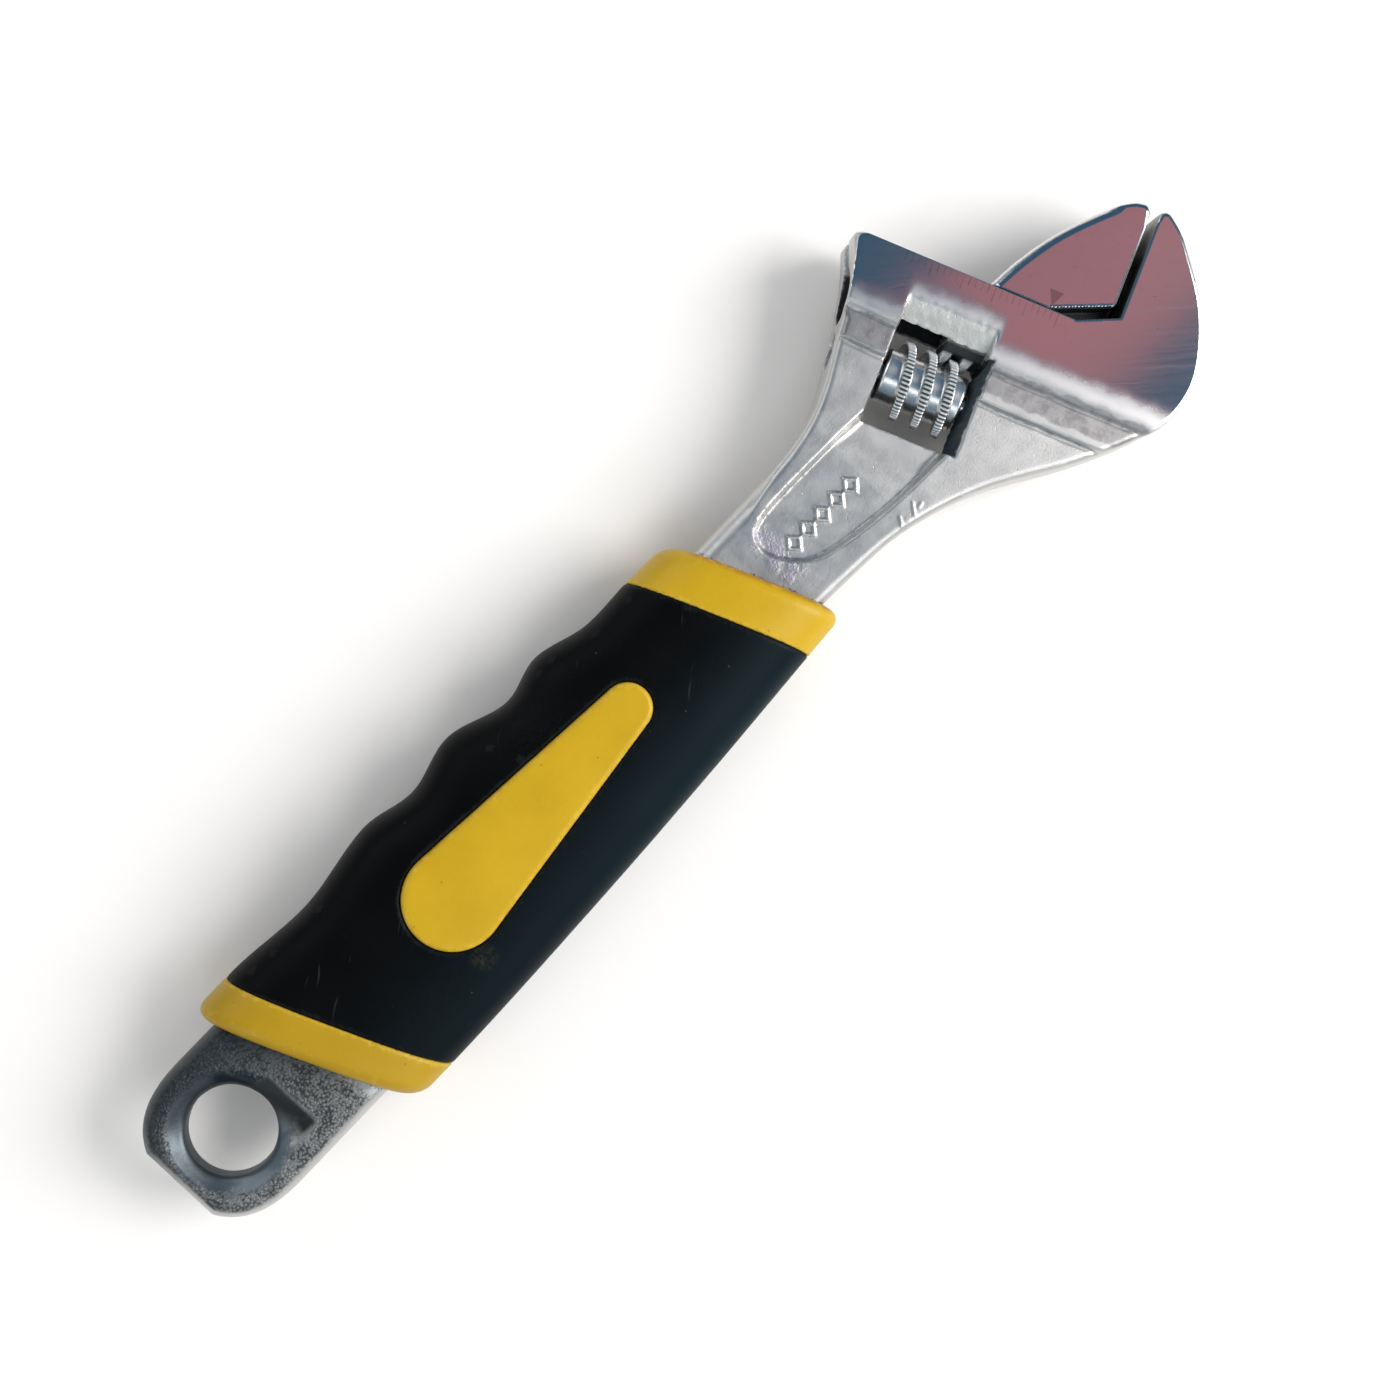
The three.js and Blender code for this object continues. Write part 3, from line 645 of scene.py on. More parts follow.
def jaw_field(u, v, z):
    tip = ease((u - JAW_REACH + 3.5) / 3.5)
    slab = both(leaf(u, v), np.abs(z) - JAW_HALF, 0.1 + 0.8 * tip)
    slope = (outer_edge(u, v) + np.abs(z) - JAW_HALF + 0.8 - 1.2 * tip) * 0.707
    slab = both(slab, slope, 0.3)
    bar = cylinder(u - BOSS_U, z, BOSS_R)
    bar = both(bar, np.abs(v - JAW_FACE_V - BOSS_LENGTH / 2) - BOSS_LENGTH / 2, 0.3)
    bar = without(bar, rack_field(u, v, z), 0.18)
    neck = both(web(u, v), np.abs(z) - WEB_HALF, 0.2)
    return joined(joined(slab, neck), bar)


def make_jaw():
    low = (BOSS_U - BOSS_R, JAW_FACE_V, -JAW_HALF)
    high = (JAW_REACH, JAW_FACE_V + BOSS_LENGTH, JAW_HALF)
    return carve("sliding_jaw", jaw_field, even_grid(low, high, JAW_GRID), HEAD_PLACE, CREASE)


# ---- The worm, its pin and its spring ----
KNURLS = 54
KNURL_DEPTH = 0.42


def worm_field(u, v, z):
    radius = np.sqrt((u - WORM_U) ** 2 + z * z)
    angle = np.arctan2(u - WORM_U, z)
    rise = (v - THREAD_MID_V) / THREAD_PITCH - angle / (2 * math.pi)
    turn = np.round(rise)
    beside = np.abs(rise - turn) * THREAD_PITCH
    whole = np.abs(turn + angle / (2 * math.pi))
    height = (THREAD_R - THREAD_ROOT_R) * ease((THREAD_TURNS / 2 - whole) / 0.06)
    notch = 0.5 - 0.5 * np.cos(KNURLS * angle)
    crest = height - KNURL_DEPTH * notch**1.5 * (height > 0.5)
    flank = (ROOT_WIDTH / 2 - beside) / ((ROOT_WIDTH - CREST_WIDTH) / 2)
    outer = THREAD_ROOT_R + crest * ease(flank * 0.9 + 0.05)
    made = (radius - outer) * 0.6
    made = both(made, np.abs(v - WORM_MID_V) - WORM_LENGTH / 2, 0.45)
    made = without(made, radius - PIN_R - CLEARANCE, 0.15)
    pocket_low = WORM_MID_V + WORM_LENGTH / 2 - SPRING_POCKET
    pocket = both(radius - SPRING_R - SPRING_WIRE_R - CLEARANCE, pocket_low - v)
    return without(made, pocket, 0.15)


def make_worm():
    low = (WORM_U - THREAD_R, WORM_MID_V - WORM_LENGTH / 2, -THREAD_R)
    high = (WORM_U + THREAD_R, WORM_MID_V + WORM_LENGTH / 2, THREAD_R)
    return carve("knurled_worm", worm_field, even_grid(low, high, WORM_GRID), HEAD_PLACE)


def pin_field(u, v, z):
    radius = np.sqrt((u - WORM_U) ** 2 + z * z)
    shaft = both(radius - PIN_R, PIN_TIP_V - v, 0.4)
    ends = np.abs(v - PIN_HEAD_V + PIN_HEAD_LENGTH / 2) - PIN_HEAD_LENGTH / 2
    made = joined(both(shaft, v - PIN_HEAD_V + 0.5), both(radius - PIN_HEAD_R, ends, 0.3), 0.2)
    slot = both(np.abs(z) - 0.4, PIN_HEAD_V - 0.9 - v)
    return without(made, slot, 0.1)


def make_pin():
    low = (WORM_U - PIN_HEAD_R, PIN_TIP_V, -PIN_HEAD_R)
    high = (WORM_U + PIN_HEAD_R, PIN_HEAD_V, PIN_HEAD_R)
    return carve("slotted_pin", pin_field, even_grid(low, high, PIN_GRID), HEAD_PLACE)


def make_spring():
    """A round wire wound on a helix and cut square at both ends."""
    low = WORM_MID_V + WORM_LENGTH / 2 - SPRING_POCKET + CLEARANCE + SPRING_WIRE_R
    high = WINDOW[3] - CLEARANCE / 2 - SPRING_WIRE_R
    sides, steps = 12, round(SPRING_TURNS * 36)
    rings = []
    for k in range(steps + 1):
        turn = (k / steps - 0.5) * SPRING_TURNS * 2 * math.pi
        v = low + (high - low) * k / steps
        for s in range(sides):
            a = 2 * math.pi * s / sides
            out = SPRING_R + SPRING_WIRE_R * math.sin(a)
            up = v + SPRING_WIRE_R * math.cos(a)
            rings.append((WORM_U + out * math.sin(turn), up, out * math.cos(turn)))
    faces = []
    for k in range(steps):
        for s in range(sides):
            a, b = k * sides + s, k * sides + (s + 1) % sides
            faces.append((a, b, b + sides, a + sides))
    ends, last = len(rings), steps * sides
    for first in (0, last):
        rings.append(tuple(np.mean(rings[first:first + sides], 0)))
    for s in range(0, sides, 2):
        a, b, c = s, s + 1, (s + 2) % sides
        faces.append((ends, c, b, a))
        faces.append((ends + 1, a + last, b + last, c + last))
    return make_piece("worm_coil", rings, np.array(faces), HEAD_PLACE)


# ---- The grip ----
EDGE_LOW, EDGE_STEP = -8.0, 0.2
edge_places = np.arange(EDGE_LOW, 128, EDGE_STEP)
finger_table = smooth_line(FINGER_EDGE, edge_places)
palm_table = smooth_line(PALM_EDGE, edge_places)


def grip_form(x, y, z):
    """The grip's outer surface: a soft squarish section between its finger edge and palm edge."""
    finger = along(finger_table, x, EDGE_LOW, EDGE_STEP)
    palm = along(palm_table, x, EDGE_LOW, EDGE_STEP)
    half = (finger + palm) / 2
    a = np.abs(y - (finger - palm) / 2) / half
    b = np.abs(z) / GRIP_HALF
    n = SECTION_POWER
    q = np.maximum((a**n + b**n) ** (1 / n), 1e-3)
    slope = np.sqrt(((a / q) ** (n - 1) / half) ** 2 + ((b / q) ** (n - 1) / GRIP_HALF) ** 2)
    return (q - 1) / slope


def past(x, y, crossing):
    """How far a place is in front of a slanted plane that crosses the handle's axis."""
    return (x - crossing + y * math.tan(GRIP_SLANT)) * math.cos(GRIP_SLANT)


def drop_field(x, y):
    """The inlay's drop shape: two round ends and the straight sides that touch both."""
    (ax, ay, ar), (bx, by, br) = INLAY_WIDE, INLAY_NARROW
    apart = math.hypot(bx - ax, by - ay)
    cx, cy = (bx - ax) / apart, (by - ay) / apart
    p = (x - ax) * cx + (y - ay) * cy
    q = np.abs((y - ay) * cx - (x - ax) * cy)
    lean = (ar - br) / apart
    flat = math.sqrt(1 - lean * lean)
    k = p * flat - q * lean
    side = q * flat + p * lean - ar
    near = np.sqrt(p * p + q * q) - ar
    far = np.sqrt((p - apart) ** 2 + q * q) - br
    return np.where(k < 0, near, np.where(k > apart * flat, far, side))


def shank_field(x, y, z):
    side = np.where(x < GRIP_REAR + 12, TAIL_HALF_WIDTH, SHANK_HALF_WIDTH + 0.3)
    return both(np.abs(y) - side - 0.25, np.abs(z) - SHANK_HALF - 0.25, 1.0)


def core_field(x, y, z):
    form = grip_form(x, y, z)
    rear, front = -past(x, y, GRIP_REAR), past(x, y, GRIP_FRONT)
    rear_collar = both(both(form, rear, 2.2), past(x, y, REAR_SEAM - 0.04), 0.16)
    front_collar = both(both(form, front, 2.2), -past(x, y, FRONT_SEAM + 0.04), 0.16)
    under = both(form + COVER_WALL + 0.2, both(rear + 2, front + 2))
    inlay = both(form - INLAY_PROUD, drop_field(x, y), 0.65)
    made = joined(joined(under, joined(rear_collar, front_collar)), inlay)
    return without(made, shank_field(x, y, z), 0.3)


def make_core():
    low = (GRIP_REAR - 7, -16.4, -GRIP_HALF - INLAY_PROUD)
    high = (GRIP_FRONT + 7, 17, GRIP_HALF + INLAY_PROUD)
    return carve("yellow_core", core_field, even_grid(low, high, GRIP_GRID))


def cover_field(x, y, z):
    form = grip_form(x, y, z)
    made = both(form, -past(x, y, REAR_SEAM + 0.04), 0.22)
    made = both(made, past(x, y, FRONT_SEAM - 0.04), 0.22)
    made = without(made, drop_field(x, y) - 0.12, 0.3)
    return without(made, form + COVER_WALL)


def make_cover():
    low = (REAR_SEAM - 7, -16.4, -GRIP_HALF)
    high = (FRONT_SEAM + 7, 17, GRIP_HALF)
    return carve("black_cover", cover_field, even_grid(low, high, GRIP_GRID))


# ---- Building materials out of nodes ----
FLOAT, VECTOR = "NodeSocketFloat", "NodeSocketVector"
PLACE = ("Place", VECTOR, None)
GRAIN_LOW, GRAIN_HIGH = 0.3, 0.7  # a soft grain hardly ever goes past these


class Graph:
    """A short hand for adding and joining the nodes of one tree."""

    def __init__(self, tree):
        self.tree = tree

    def put(self, kind, **settings):
        node = self.tree.nodes.new(kind)
        for key, value in settings.items():
            setattr(node, key, value)
        return node

    def feed(self, socket, value):
        if isinstance(value, bpy.types.NodeSocket):
            self.tree.links.new(value, socket)
        else:
            socket.default_value = value

    def read(self, kind, inputs, **settings):
        """The first output of a new node whose inputs are fed by name or by number."""
        node = self.put(kind, **settings)
        for key, value in dict(inputs).items():
            self.feed(node.inputs[key], value)
        return node.outputs[0]

    def math(self, operation, *values):
        return self.read("ShaderNodeMath", enumerate(values), operation=operation)

    def add(self, a, b):
        return self.math("ADD", a, b)

    def less(self, a, b):
        return self.math("SUBTRACT", a, b)

    def rest(self, share):
        """What the share leaves of 1."""
        return self.less(1, share)

    def times(self, first, *more):
        for value in more:
            first = self.math("MULTIPLY", first, value)
        return first

    def most(self, first, *more):
        for value in more:
            first = self.math("MAXIMUM", first, value)
        return first

    def blend(self, share, a, b):
        """a where the share is 0, b where it is 1."""
        return self.add(self.times(a, self.rest(share)), self.times(b, share))

    def distance(self, a, b):
        """How far the point (a, b) is from zero."""
        return self.math("SQRT", self.add(self.times(a, a), self.times(b, b)))

    def soft(self, value, low, high):
        """0 where value is at low, 1 at high and a smooth step between."""
        inputs = {"Value": value, "From Min": low, "From Max": high}
        return self.read("ShaderNodeMapRange", inputs, interpolation_type="SMOOTHSTEP")

    def within(self, value, low, high, blur):
        """1 between low and high, fading out over blur at both ends."""
        rise = self.soft(value, low - blur, low + blur)
        return self.times(rise, self.soft(value, high + blur, high - blur))

    def scale(self, value, low, high, to_low, to_high):
        return self.read("ShaderNodeMapRange", enumerate((value, low, high, to_low, to_high)))

    def spread(self, grain, to_low, to_high):
        """A soft grain brought to the given values."""
        return self.scale(grain, GRAIN_LOW, GRAIN_HIGH, to_low, to_high)

    def colour(self, share, a, b):
        """The tone a where the share is 0, b where it is 1."""
        node = self.put("ShaderNodeMix", data_type="RGBA")
        self.feed(node.inputs["Factor"], share)
        for socket, tone in ((node.inputs[6], a), (node.inputs[7], b)):
            self.feed(socket, (*tone, 1) if isinstance(tone, tuple) else tone)
        return node.outputs[2]

    def paint(self, colour, *coats):
        """Lays the coats over the colour in turn, each a share and a tone."""
        for share, tone in coats:
            colour = self.colour(share, colour, tone)
        return colour

    def grain(self, place, scale, detail=3.0, rough=0.55):
        inputs = {"Vector": place, "Scale": scale, "Detail": detail, "Roughness": rough}
        return self.read("ShaderNodeTexNoise", inputs)

    def cells(self, place, scale):
        """The distance to the nearest of many scattered points."""
        return self.read("ShaderNodeTexVoronoi", {"Vector": place, "Scale": scale})

    def stretched(self, place, stretch):
        """The place with some directions squeezed, so that a grain on it becomes long streaks."""
        return self.read("ShaderNodeMapping", {"Vector": place, "Scale": stretch})

    def turned(self, place, angle):
        inputs = {"Vector": place, "Angle": angle}
        return self.read("ShaderNodeVectorRotate", inputs, rotation_type="Z_AXIS")

    def bump(self, height, distance, normal=None):
        inputs = {"Height": height, "Distance": distance * MM}
        if normal is not None:
            inputs["Normal"] = normal
        return self.read("ShaderNodeBump", inputs)

    def use(self, group, **inputs):
        node = self.put("ShaderNodeGroup")
        node.node_tree = group
        for name, value in inputs.items():
            self.feed(node.inputs[name], value)
        return node.outputs


def new_group(name, inputs, outputs):
    group = bpy.data.node_groups.new(name, "ShaderNodeTree")
    for label, kind, default in inputs:
        socket = group.interface.new_socket(label, in_out="INPUT", socket_type=kind)
        if default is not None:
            socket.default_value = default
    for label, kind in outputs:
        group.interface.new_socket(label, in_out="OUTPUT", socket_type=kind)
    graph = Graph(group)
    return group, graph, graph.put("NodeGroupInput").outputs, graph.put("NodeGroupOutput").inputs


def make_places():
    """Millimetre places in the handle's frame and in the head's."""
    group, g, _, out = new_group("tool_places", [], [("Handle", VECTOR), ("Head", VECTOR)])
    place = g.put("ShaderNodeTexCoord").outputs["Object"]
    place = g.read("ShaderNodeVectorMath", {0: place, "Scale": 1 / MM}, operation="SCALE")
    for socket, (origin, turn) in zip(out, [(HANDLE_ORIGIN, 0.0), ((HEAD_X, 0, 0), HEAD_ANGLE)]):
        place = g.read("ShaderNodeVectorMath", {0: place, 1: origin}, operation="SUBTRACT")
        place = g.turned(place, -turn)
        g.feed(socket, place)
    return group


def make_edges():
    """Where convex edges are rubbed bright and where hollow corners are darker."""
    outputs = [("Worn", FLOAT), ("Hollow", FLOAT)]
    group, g, given, out = new_group("rubbed_edges", [PLACE], outputs)
    point = g.put("ShaderNodeNewGeometry").outputs["Pointiness"]
    uneven = g.add(point, g.spread(g.grain(given["Place"], 0.9, 4), -0.025, 0.025))
    g.feed(out["Worn"], g.soft(uneven, 0.515, 0.56))
    g.feed(out["Hollow"], g.soft(uneven, 0.485, 0.44))
    return group


def make_scratches():
    """Fine lines that run one way, with some deeper ones among them, as a height from 0 to 1."""
    inputs = [PLACE, ("Turn", FLOAT, 0.0)]
    outputs = [("Height", FLOAT), ("Deep", FLOAT)]
    group, g, given, out = new_group("fine_scratches", inputs, outputs)
    turned = g.turned(given["Place"], given["Turn"])
    shift = g.read("ShaderNodeCombineXYZ", {1: g.times(g.grain(turned, 0.16, 2), 1.2)})
    wavering = g.read("ShaderNodeVectorMath", {0: turned, 1: shift}, operation="ADD")
    deep = g.grain(g.stretched(wavering, (0.12, 1.7, 0.3)), 1.0, 2, 0.5)
    g.feed(out["Height"], g.grain(g.stretched(wavering, (0.09, 3.4, 0.4)), 1.0, 5, 0.7))
    g.feed(out["Deep"], g.soft(deep, 0.66, 0.74))
    return group


def make_skin():
    """The mottled skin of plated steel that was cast or forged: fine grain with pin holes."""
    outputs = [("Height", FLOAT), ("Mottle", FLOAT), ("Pits", FLOAT)]
    group, g, given, out = new_group("plated_skin", [PLACE], outputs)
    place = given["Place"]
    rare = g.soft(g.grain(place, 0.45, 1), 0.62, 0.7)
    pits = g.times(g.soft(g.cells(place, 1.1), 0.16, 0.05), rare)
    g.feed(out["Height"], g.less(g.grain(place, 3.2, 4, 0.6), g.times(pits, 2.0)))
    g.feed(out["Mottle"], g.grain(place, 0.35, 5, 0.6))
    g.feed(out["Pits"], pits)
    return group


def make_cast():
    """The coarse skin of an unfinished casting."""
    outputs = [("Height", FLOAT), ("Dark", FLOAT)]
    group, g, given, out = new_group("coarse_casting", [PLACE], outputs)
    place = given["Place"]
    height = g.add(g.times(g.cells(place, 2.3), -0.75), g.grain(place, 2.6, 6, 0.72))
    g.feed(out["Height"], height)
    g.feed(out["Dark"], g.soft(g.add(height, g.grain(place, 0.3, 2)), 0.75, 0.35))
    return group


def make_dirt():
    """Grime in a soft band, broken up by a coarse and a fine grain."""
    inputs = [PLACE, ("Amount", FLOAT, 0.5)]
    group, g, given, out = new_group("broken_grime", inputs, [("Grime", FLOAT)])
    place, amount = given["Place"], given["Amount"]
    uneven = g.add(g.grain(place, 0.5, 5, 0.65), g.grain(place, 2.6, 3, 0.6))
    cover = g.add(amount, g.scale(uneven, 0.6, 1.4, -0.45, 0.45))
    g.feed(out["Grime"], g.times(g.soft(cover, 0.35, 0.85), g.soft(amount, 0, 0.12)))
    return group


tool_places = make_places()
rubbed_edges = make_edges()
fine_scratches = make_scratches()
plated_skin = make_skin()
coarse_casting = make_cast()
broken_grime = make_dirt()


class Finish(Graph):
    """A material on one Principled shader, with the tool's places ready to use."""

    def __init__(self, name, metallic, specular=0.5):
        self.material = bpy.data.materials.new(name)
        self.material.use_nodes = True
        super().__init__(self.material.node_tree)
        self.shader = self.tree.nodes["Principled BSDF"]
        self.feed(self.shader.inputs["Metallic"], metallic)
        self.feed(self.shader.inputs["Specular IOR Level"], specular)
        places = self.use(tool_places)
        self.handle, self.head = places["Handle"], places["Head"]

    def parts(self, place):
        node = self.put("ShaderNodeSeparateXYZ")
        self.feed(node.inputs[0], place)
        return node.outputs

    def slanted(self, x, y):
        """Where a plane as slanted as the grip's ends crosses the handle's axis."""
        return self.add(x, self.times(y, math.tan(GRIP_SLANT)))

    def grime(self, amount):
        return self.use(broken_grime, Place=self.handle, Amount=amount)["Grime"]

    def finish(self, colour, roughness, normal, metallic=None):
        self.feed(self.shader.inputs["Base Color"], colour)
        self.feed(self.shader.inputs["Roughness"], roughness)
        self.feed(self.shader.inputs["Normal"], normal)
        if metallic is not None:
            self.feed(self.shader.inputs["Metallic"], metallic)
        return self.material


def scale_marks(m, u, v):
    """Etched lines along the head's front edge, one for each millimetre of opening."""
    from_zero = m.less(v, SCALE_ZERO_V)
    near, near_fifth = (m.math("PINGPONG", from_zero, half) for half in (0.5, 2.5))
    line = m.soft(near, SCALE_LINE / 2 + 0.05, SCALE_LINE / 2 - 0.02)
    foot = m.less(FRONT_U - 1.5, m.soft(near_fifth, 0.4, 0.2))
    reach = m.times(m.soft(m.less(u, foot), -0.1, 0.1), m.soft(u, FRONT_U - 0.1, FRONT_U - 0.3))
    span = m.within(v, SCALE_ZERO_V - 0.3, SCALE_ZERO_V + SCALE_LENGTH + 0.3, 0.05)
    rubbed = m.soft(m.grain(m.head, 0.35, 3), 0.38, 0.62)
    return m.times(line, reach, span, m.add(0.35, m.times(rubbed, 0.65)))


def pointer_mark(m, u, v):
    """A small etched triangle on the jaw that points at the scale."""
    half = m.times(m.less(u, POINTER_U), 0.47)
    wedge = m.soft(m.less(half, m.math("ABSOLUTE", m.less(v, POINTER_V))), -0.06, 0.06)
    return m.times(wedge, m.soft(u, POINTER_U + 2.45, POINTER_U + 2.35))


def ground_lines(m, degrees):
    """Lines left by grinding: their grain, how rough a mirror they leave, and their height."""
    lines = m.use(fine_scratches, Place=m.head, Turn=math.radians(degrees))
    height = m.less(m.times(lines["Height"], 0.22), m.times(lines["Deep"], 0.3))
    return lines["Height"], m.spread(lines["Height"], 0.09, 0.14), height


def less_at_tip(m, u):
    """The painted shade in the mouth thins out towards the jaws' tips."""
    return m.scale(u, JAW_REACH - 8, JAW_REACH - 1, 1.0, 0.25)


def shade_in_head(m, u, v, height):
    """Painted shade in the mouth, the throat, the window and the channel, and on the wall that leans
    out.
    """
    mouth = m.times(
        m.within(v, FIXED_FACE_V - 0.4, FIXED_FACE_V + 0.5, 0.2),
        m.soft(u, THROAT_U - 1, THROAT_U), less_at_tip(m, u),
    )
    throat = m.times(
        m.within(v, FIXED_FACE_V - 0.5, THROAT_V + 0.4, 0.2),
        m.within(u, FRONT_U - 0.3, THROAT_U + 1, 0.2),
    )
    low = m.soft(height, HEAD_HALF - 0.08, HEAD_HALF - 0.3)
    window_u = m.within(u, WINDOW[0] - 0.1, WINDOW[1] + 0.12, 0.07)
    inside = m.times(window_u, m.within(v, WINDOW[2] - 0.1, WINDOW[3] + 0.1, 0.07))
    upright = m.add(v, m.scale(height, 1.0, 6.0, 0.0, WALL_LEAN))
    on_wall = m.times(
        m.soft(upright, WINDOW[2] - 0.22, WINDOW[2] - 0.08), window_u,
        m.soft(v, WINDOW[2] + 0.1, WINDOW[2]),
    )
    bore_r = BOSS_R + CLEARANCE
    bore = m.times(
        m.soft(m.distance(m.less(u, BOSS_U), height), bore_r + 0.12, bore_r + 0.04),
        m.soft(v, CHANNEL_END - 0.6, CHANNEL_END - 0.2),
    )
    return m.most(m.times(m.most(mouth, throat), low), inside, on_wall, bore), on_wall


def forged_steel():
    m = Finish("plated_forging", 1.0)
    x, y, z = m.parts(m.handle)
    u, v, _ = m.parts(m.head)
    height = m.math("ABSOLUTE", z)
    edges = m.use(rubbed_edges, Place=m.handle)
    skin = m.use(plated_skin, Place=m.handle)
    cast = m.use(coarse_casting, Place=m.handle)
    lines, mirror, ground_height = ground_lines(m, 62)
    wavy = m.add(u, m.spread(m.grain(m.head, 0.4, 3), -0.35, 0.35))
    fuzzy = m.spread(m.grain(m.handle, 1.6, 4), -0.8, 0.8)

    # The ground head, the band behind it, the slope before the window and the panel's sandy end.
    ground = m.times(
        m.soft(height, HEAD_HALF - 0.13, HEAD_HALF - 0.02),
        m.soft(wavy, HEAD_STEP_U - 0.3, HEAD_STEP_U + 1.5),
    )
    band = m.times(
        m.within(wavy, BAND_STEP_U + 0.5, HEAD_STEP_U - 0.2, 0.25),
        m.soft(height, NECK_HALF, NECK_HALF + 0.4),
    )
    run_out = m.times(
        m.within(u, WINDOW[1], WINDOW[1] + 4.8, 0.25),
        m.within(v, WINDOW[2] - 1.6, WINDOW[3] + 0.2, 0.3),
        m.soft(height, HEAD_HALF - 0.06, HEAD_HALF - 0.2),
    )
    sandy = m.times(
        m.within(x, GRIP_FRONT + 2.5, GRIP_FRONT + 6.4, 0.8), m.within(y, -3.6, 5.4, 1.0),
        m.soft(m.grain(m.handle, 0.5, 4), 0.36, 0.6),
    )

    # The tail's dish, the pocket beside its hole and the rough skin round them.
    outside_dish = m.soft(m.add(m.distance(x, y), fuzzy), 8.2, 9.6)
    in_dish = m.times(m.soft(x, 14, 11), m.rest(outside_dish))
    pocket = m.times(m.within(x, 4, 9.4, 0.6), m.within(y, -8, 2, 0.8))
    high_face = m.soft(height, SHANK_HALF - 0.75, SHANK_HALF - 0.3)
    rough = m.times(m.soft(m.add(x, fuzzy), 18, 15.5), outside_dish, high_face, m.rest(pocket))
    # painted shade in the tail's pocket beside the hang hole
    in_pocket = m.times(pocket, m.soft(x, 4.5, 7.5), m.soft(x, 14, 11), m.rest(rough))
    dish_shade = m.times(m.most(pocket, in_dish), m.soft(m.add(x, m.times(y, 0.3)), 3.5, 7.5))
    tail_shade = m.times(m.soft(x, 20, 16), m.scale(m.add(y, fuzzy), -8, 9, 0.0, 0.92))

    # Painted shade, dark and less metallic, in the head's recesses and the tail's pocket.
    painted_shade, on_wall = shade_in_head(m, u, v, height)
    painted_shade = m.most(painted_shade, in_pocket)
    slanted = m.slanted(x, y)
    seam = m.times(m.within(x, GRIP_FRONT - 6, GRIP_FRONT + 6.5, 0.5), 0.6)
    grime = m.grime(m.times(m.soft(m.less(slanted, GRIP_FRONT), 1.6, 0), seam))
    rust = m.grime(m.times(m.within(m.less(GRIP_REAR, slanted), -1.5, 0.9, 0.9), 0.7))
    stain = m.soft(m.grain(m.head, 0.5, 5, 0.65), 0.42, 0.66)
    # Painted dark-teal shade on the window's leaning wall.
    painted_wall_teal = m.times(on_wall, m.spread(m.grain(m.head, 1.4, 3), 0.5, 1.0))
    colour = m.paint(
        m.colour(m.spread(skin["Mottle"], 0, 1), (0.575, 0.565, 0.55), (0.635, 0.62, 0.60)),
        (m.times(sandy, 0.75), (0.36, 0.33, 0.43)),
        # painted highlight: the run-out slope is painted a lighter cream
        (m.times(run_out, 0.8), (0.76, 0.745, 0.69)),
        # painted reflection: the dish is painted a dark bluish tone
        (m.times(in_dish, 0.9), (0.15, 0.185, 0.215)),
        (m.times(dish_shade, 0.95), (0.018, 0.028, 0.032)),
        (rough, m.colour(cast["Dark"], (0.25, 0.255, 0.25), (0.085, 0.09, 0.092))),
        (tail_shade, (0.045, 0.055, 0.06)),
        (m.times(band, m.add(0.6, m.times(stain, 0.3))), (0.27, 0.255, 0.26)),
        (ground, (0.74, 0.725, 0.72)),
        (painted_shade, (0.006, 0.010, 0.012)),
        (painted_wall_teal, (0.035, 0.058, 0.078)),
        (m.times(skin["Pits"], 0.7), (0.12, 0.12, 0.12)),
        (m.times(edges["Hollow"], 0.55), (0.10, 0.11, 0.12)),
        (m.times(edges["Worn"], m.times(m.soft(x, 14, 20), 0.25)), (0.86, 0.86, 0.87)),
        (m.times(scale_marks(m, u, v), ground, 0.36), (0.09, 0.07, 0.08)),
        (m.most(grime, rust), (0.11, 0.065, 0.045)),
    )

    satin = m.add(m.spread(skin["Mottle"], 0.4, 0.5), m.times(sandy, 0.12))
    satin = m.add(satin, m.times(run_out, 0.08))
    brushed = m.add(m.spread(lines, -0.35, 0.35), wavy)
    fading = m.most(
        m.soft(brushed, HEAD_STEP_U + 4.6, HEAD_STEP_U + 0.8),
        m.times(
            m.soft(brushed, WINDOW[1] + 8.2, WINDOW[1] + 4.4),
            m.within(v, WINDOW[2] - 0.8, WINDOW[3] + 0.5, 0.8),
        ),
    )
    roughness = m.blend(rough, satin, m.scale(cast["Dark"], 0, 1, 0.4, 0.6))
    roughness = m.blend(ground, roughness, m.add(mirror, m.times(fading, 0.3)))
    roughness = m.add(roughness, m.times(painted_shade, 0.3))

    grit = m.times(m.grain(m.handle, 2.6, 3), m.add(sandy, m.times(run_out, 0.5)))
    normal = m.bump(m.times(skin["Height"], m.rest(m.most(rough, ground))), 0.022)
    normal = m.bump(grit, 0.12, normal)
    normal = m.bump(m.times(cast["Height"], rough), 0.2, normal)
    normal = m.bump(m.times(ground_height, ground), 0.004, normal)
    return m.finish(colour, roughness, normal, m.rest(painted_shade))


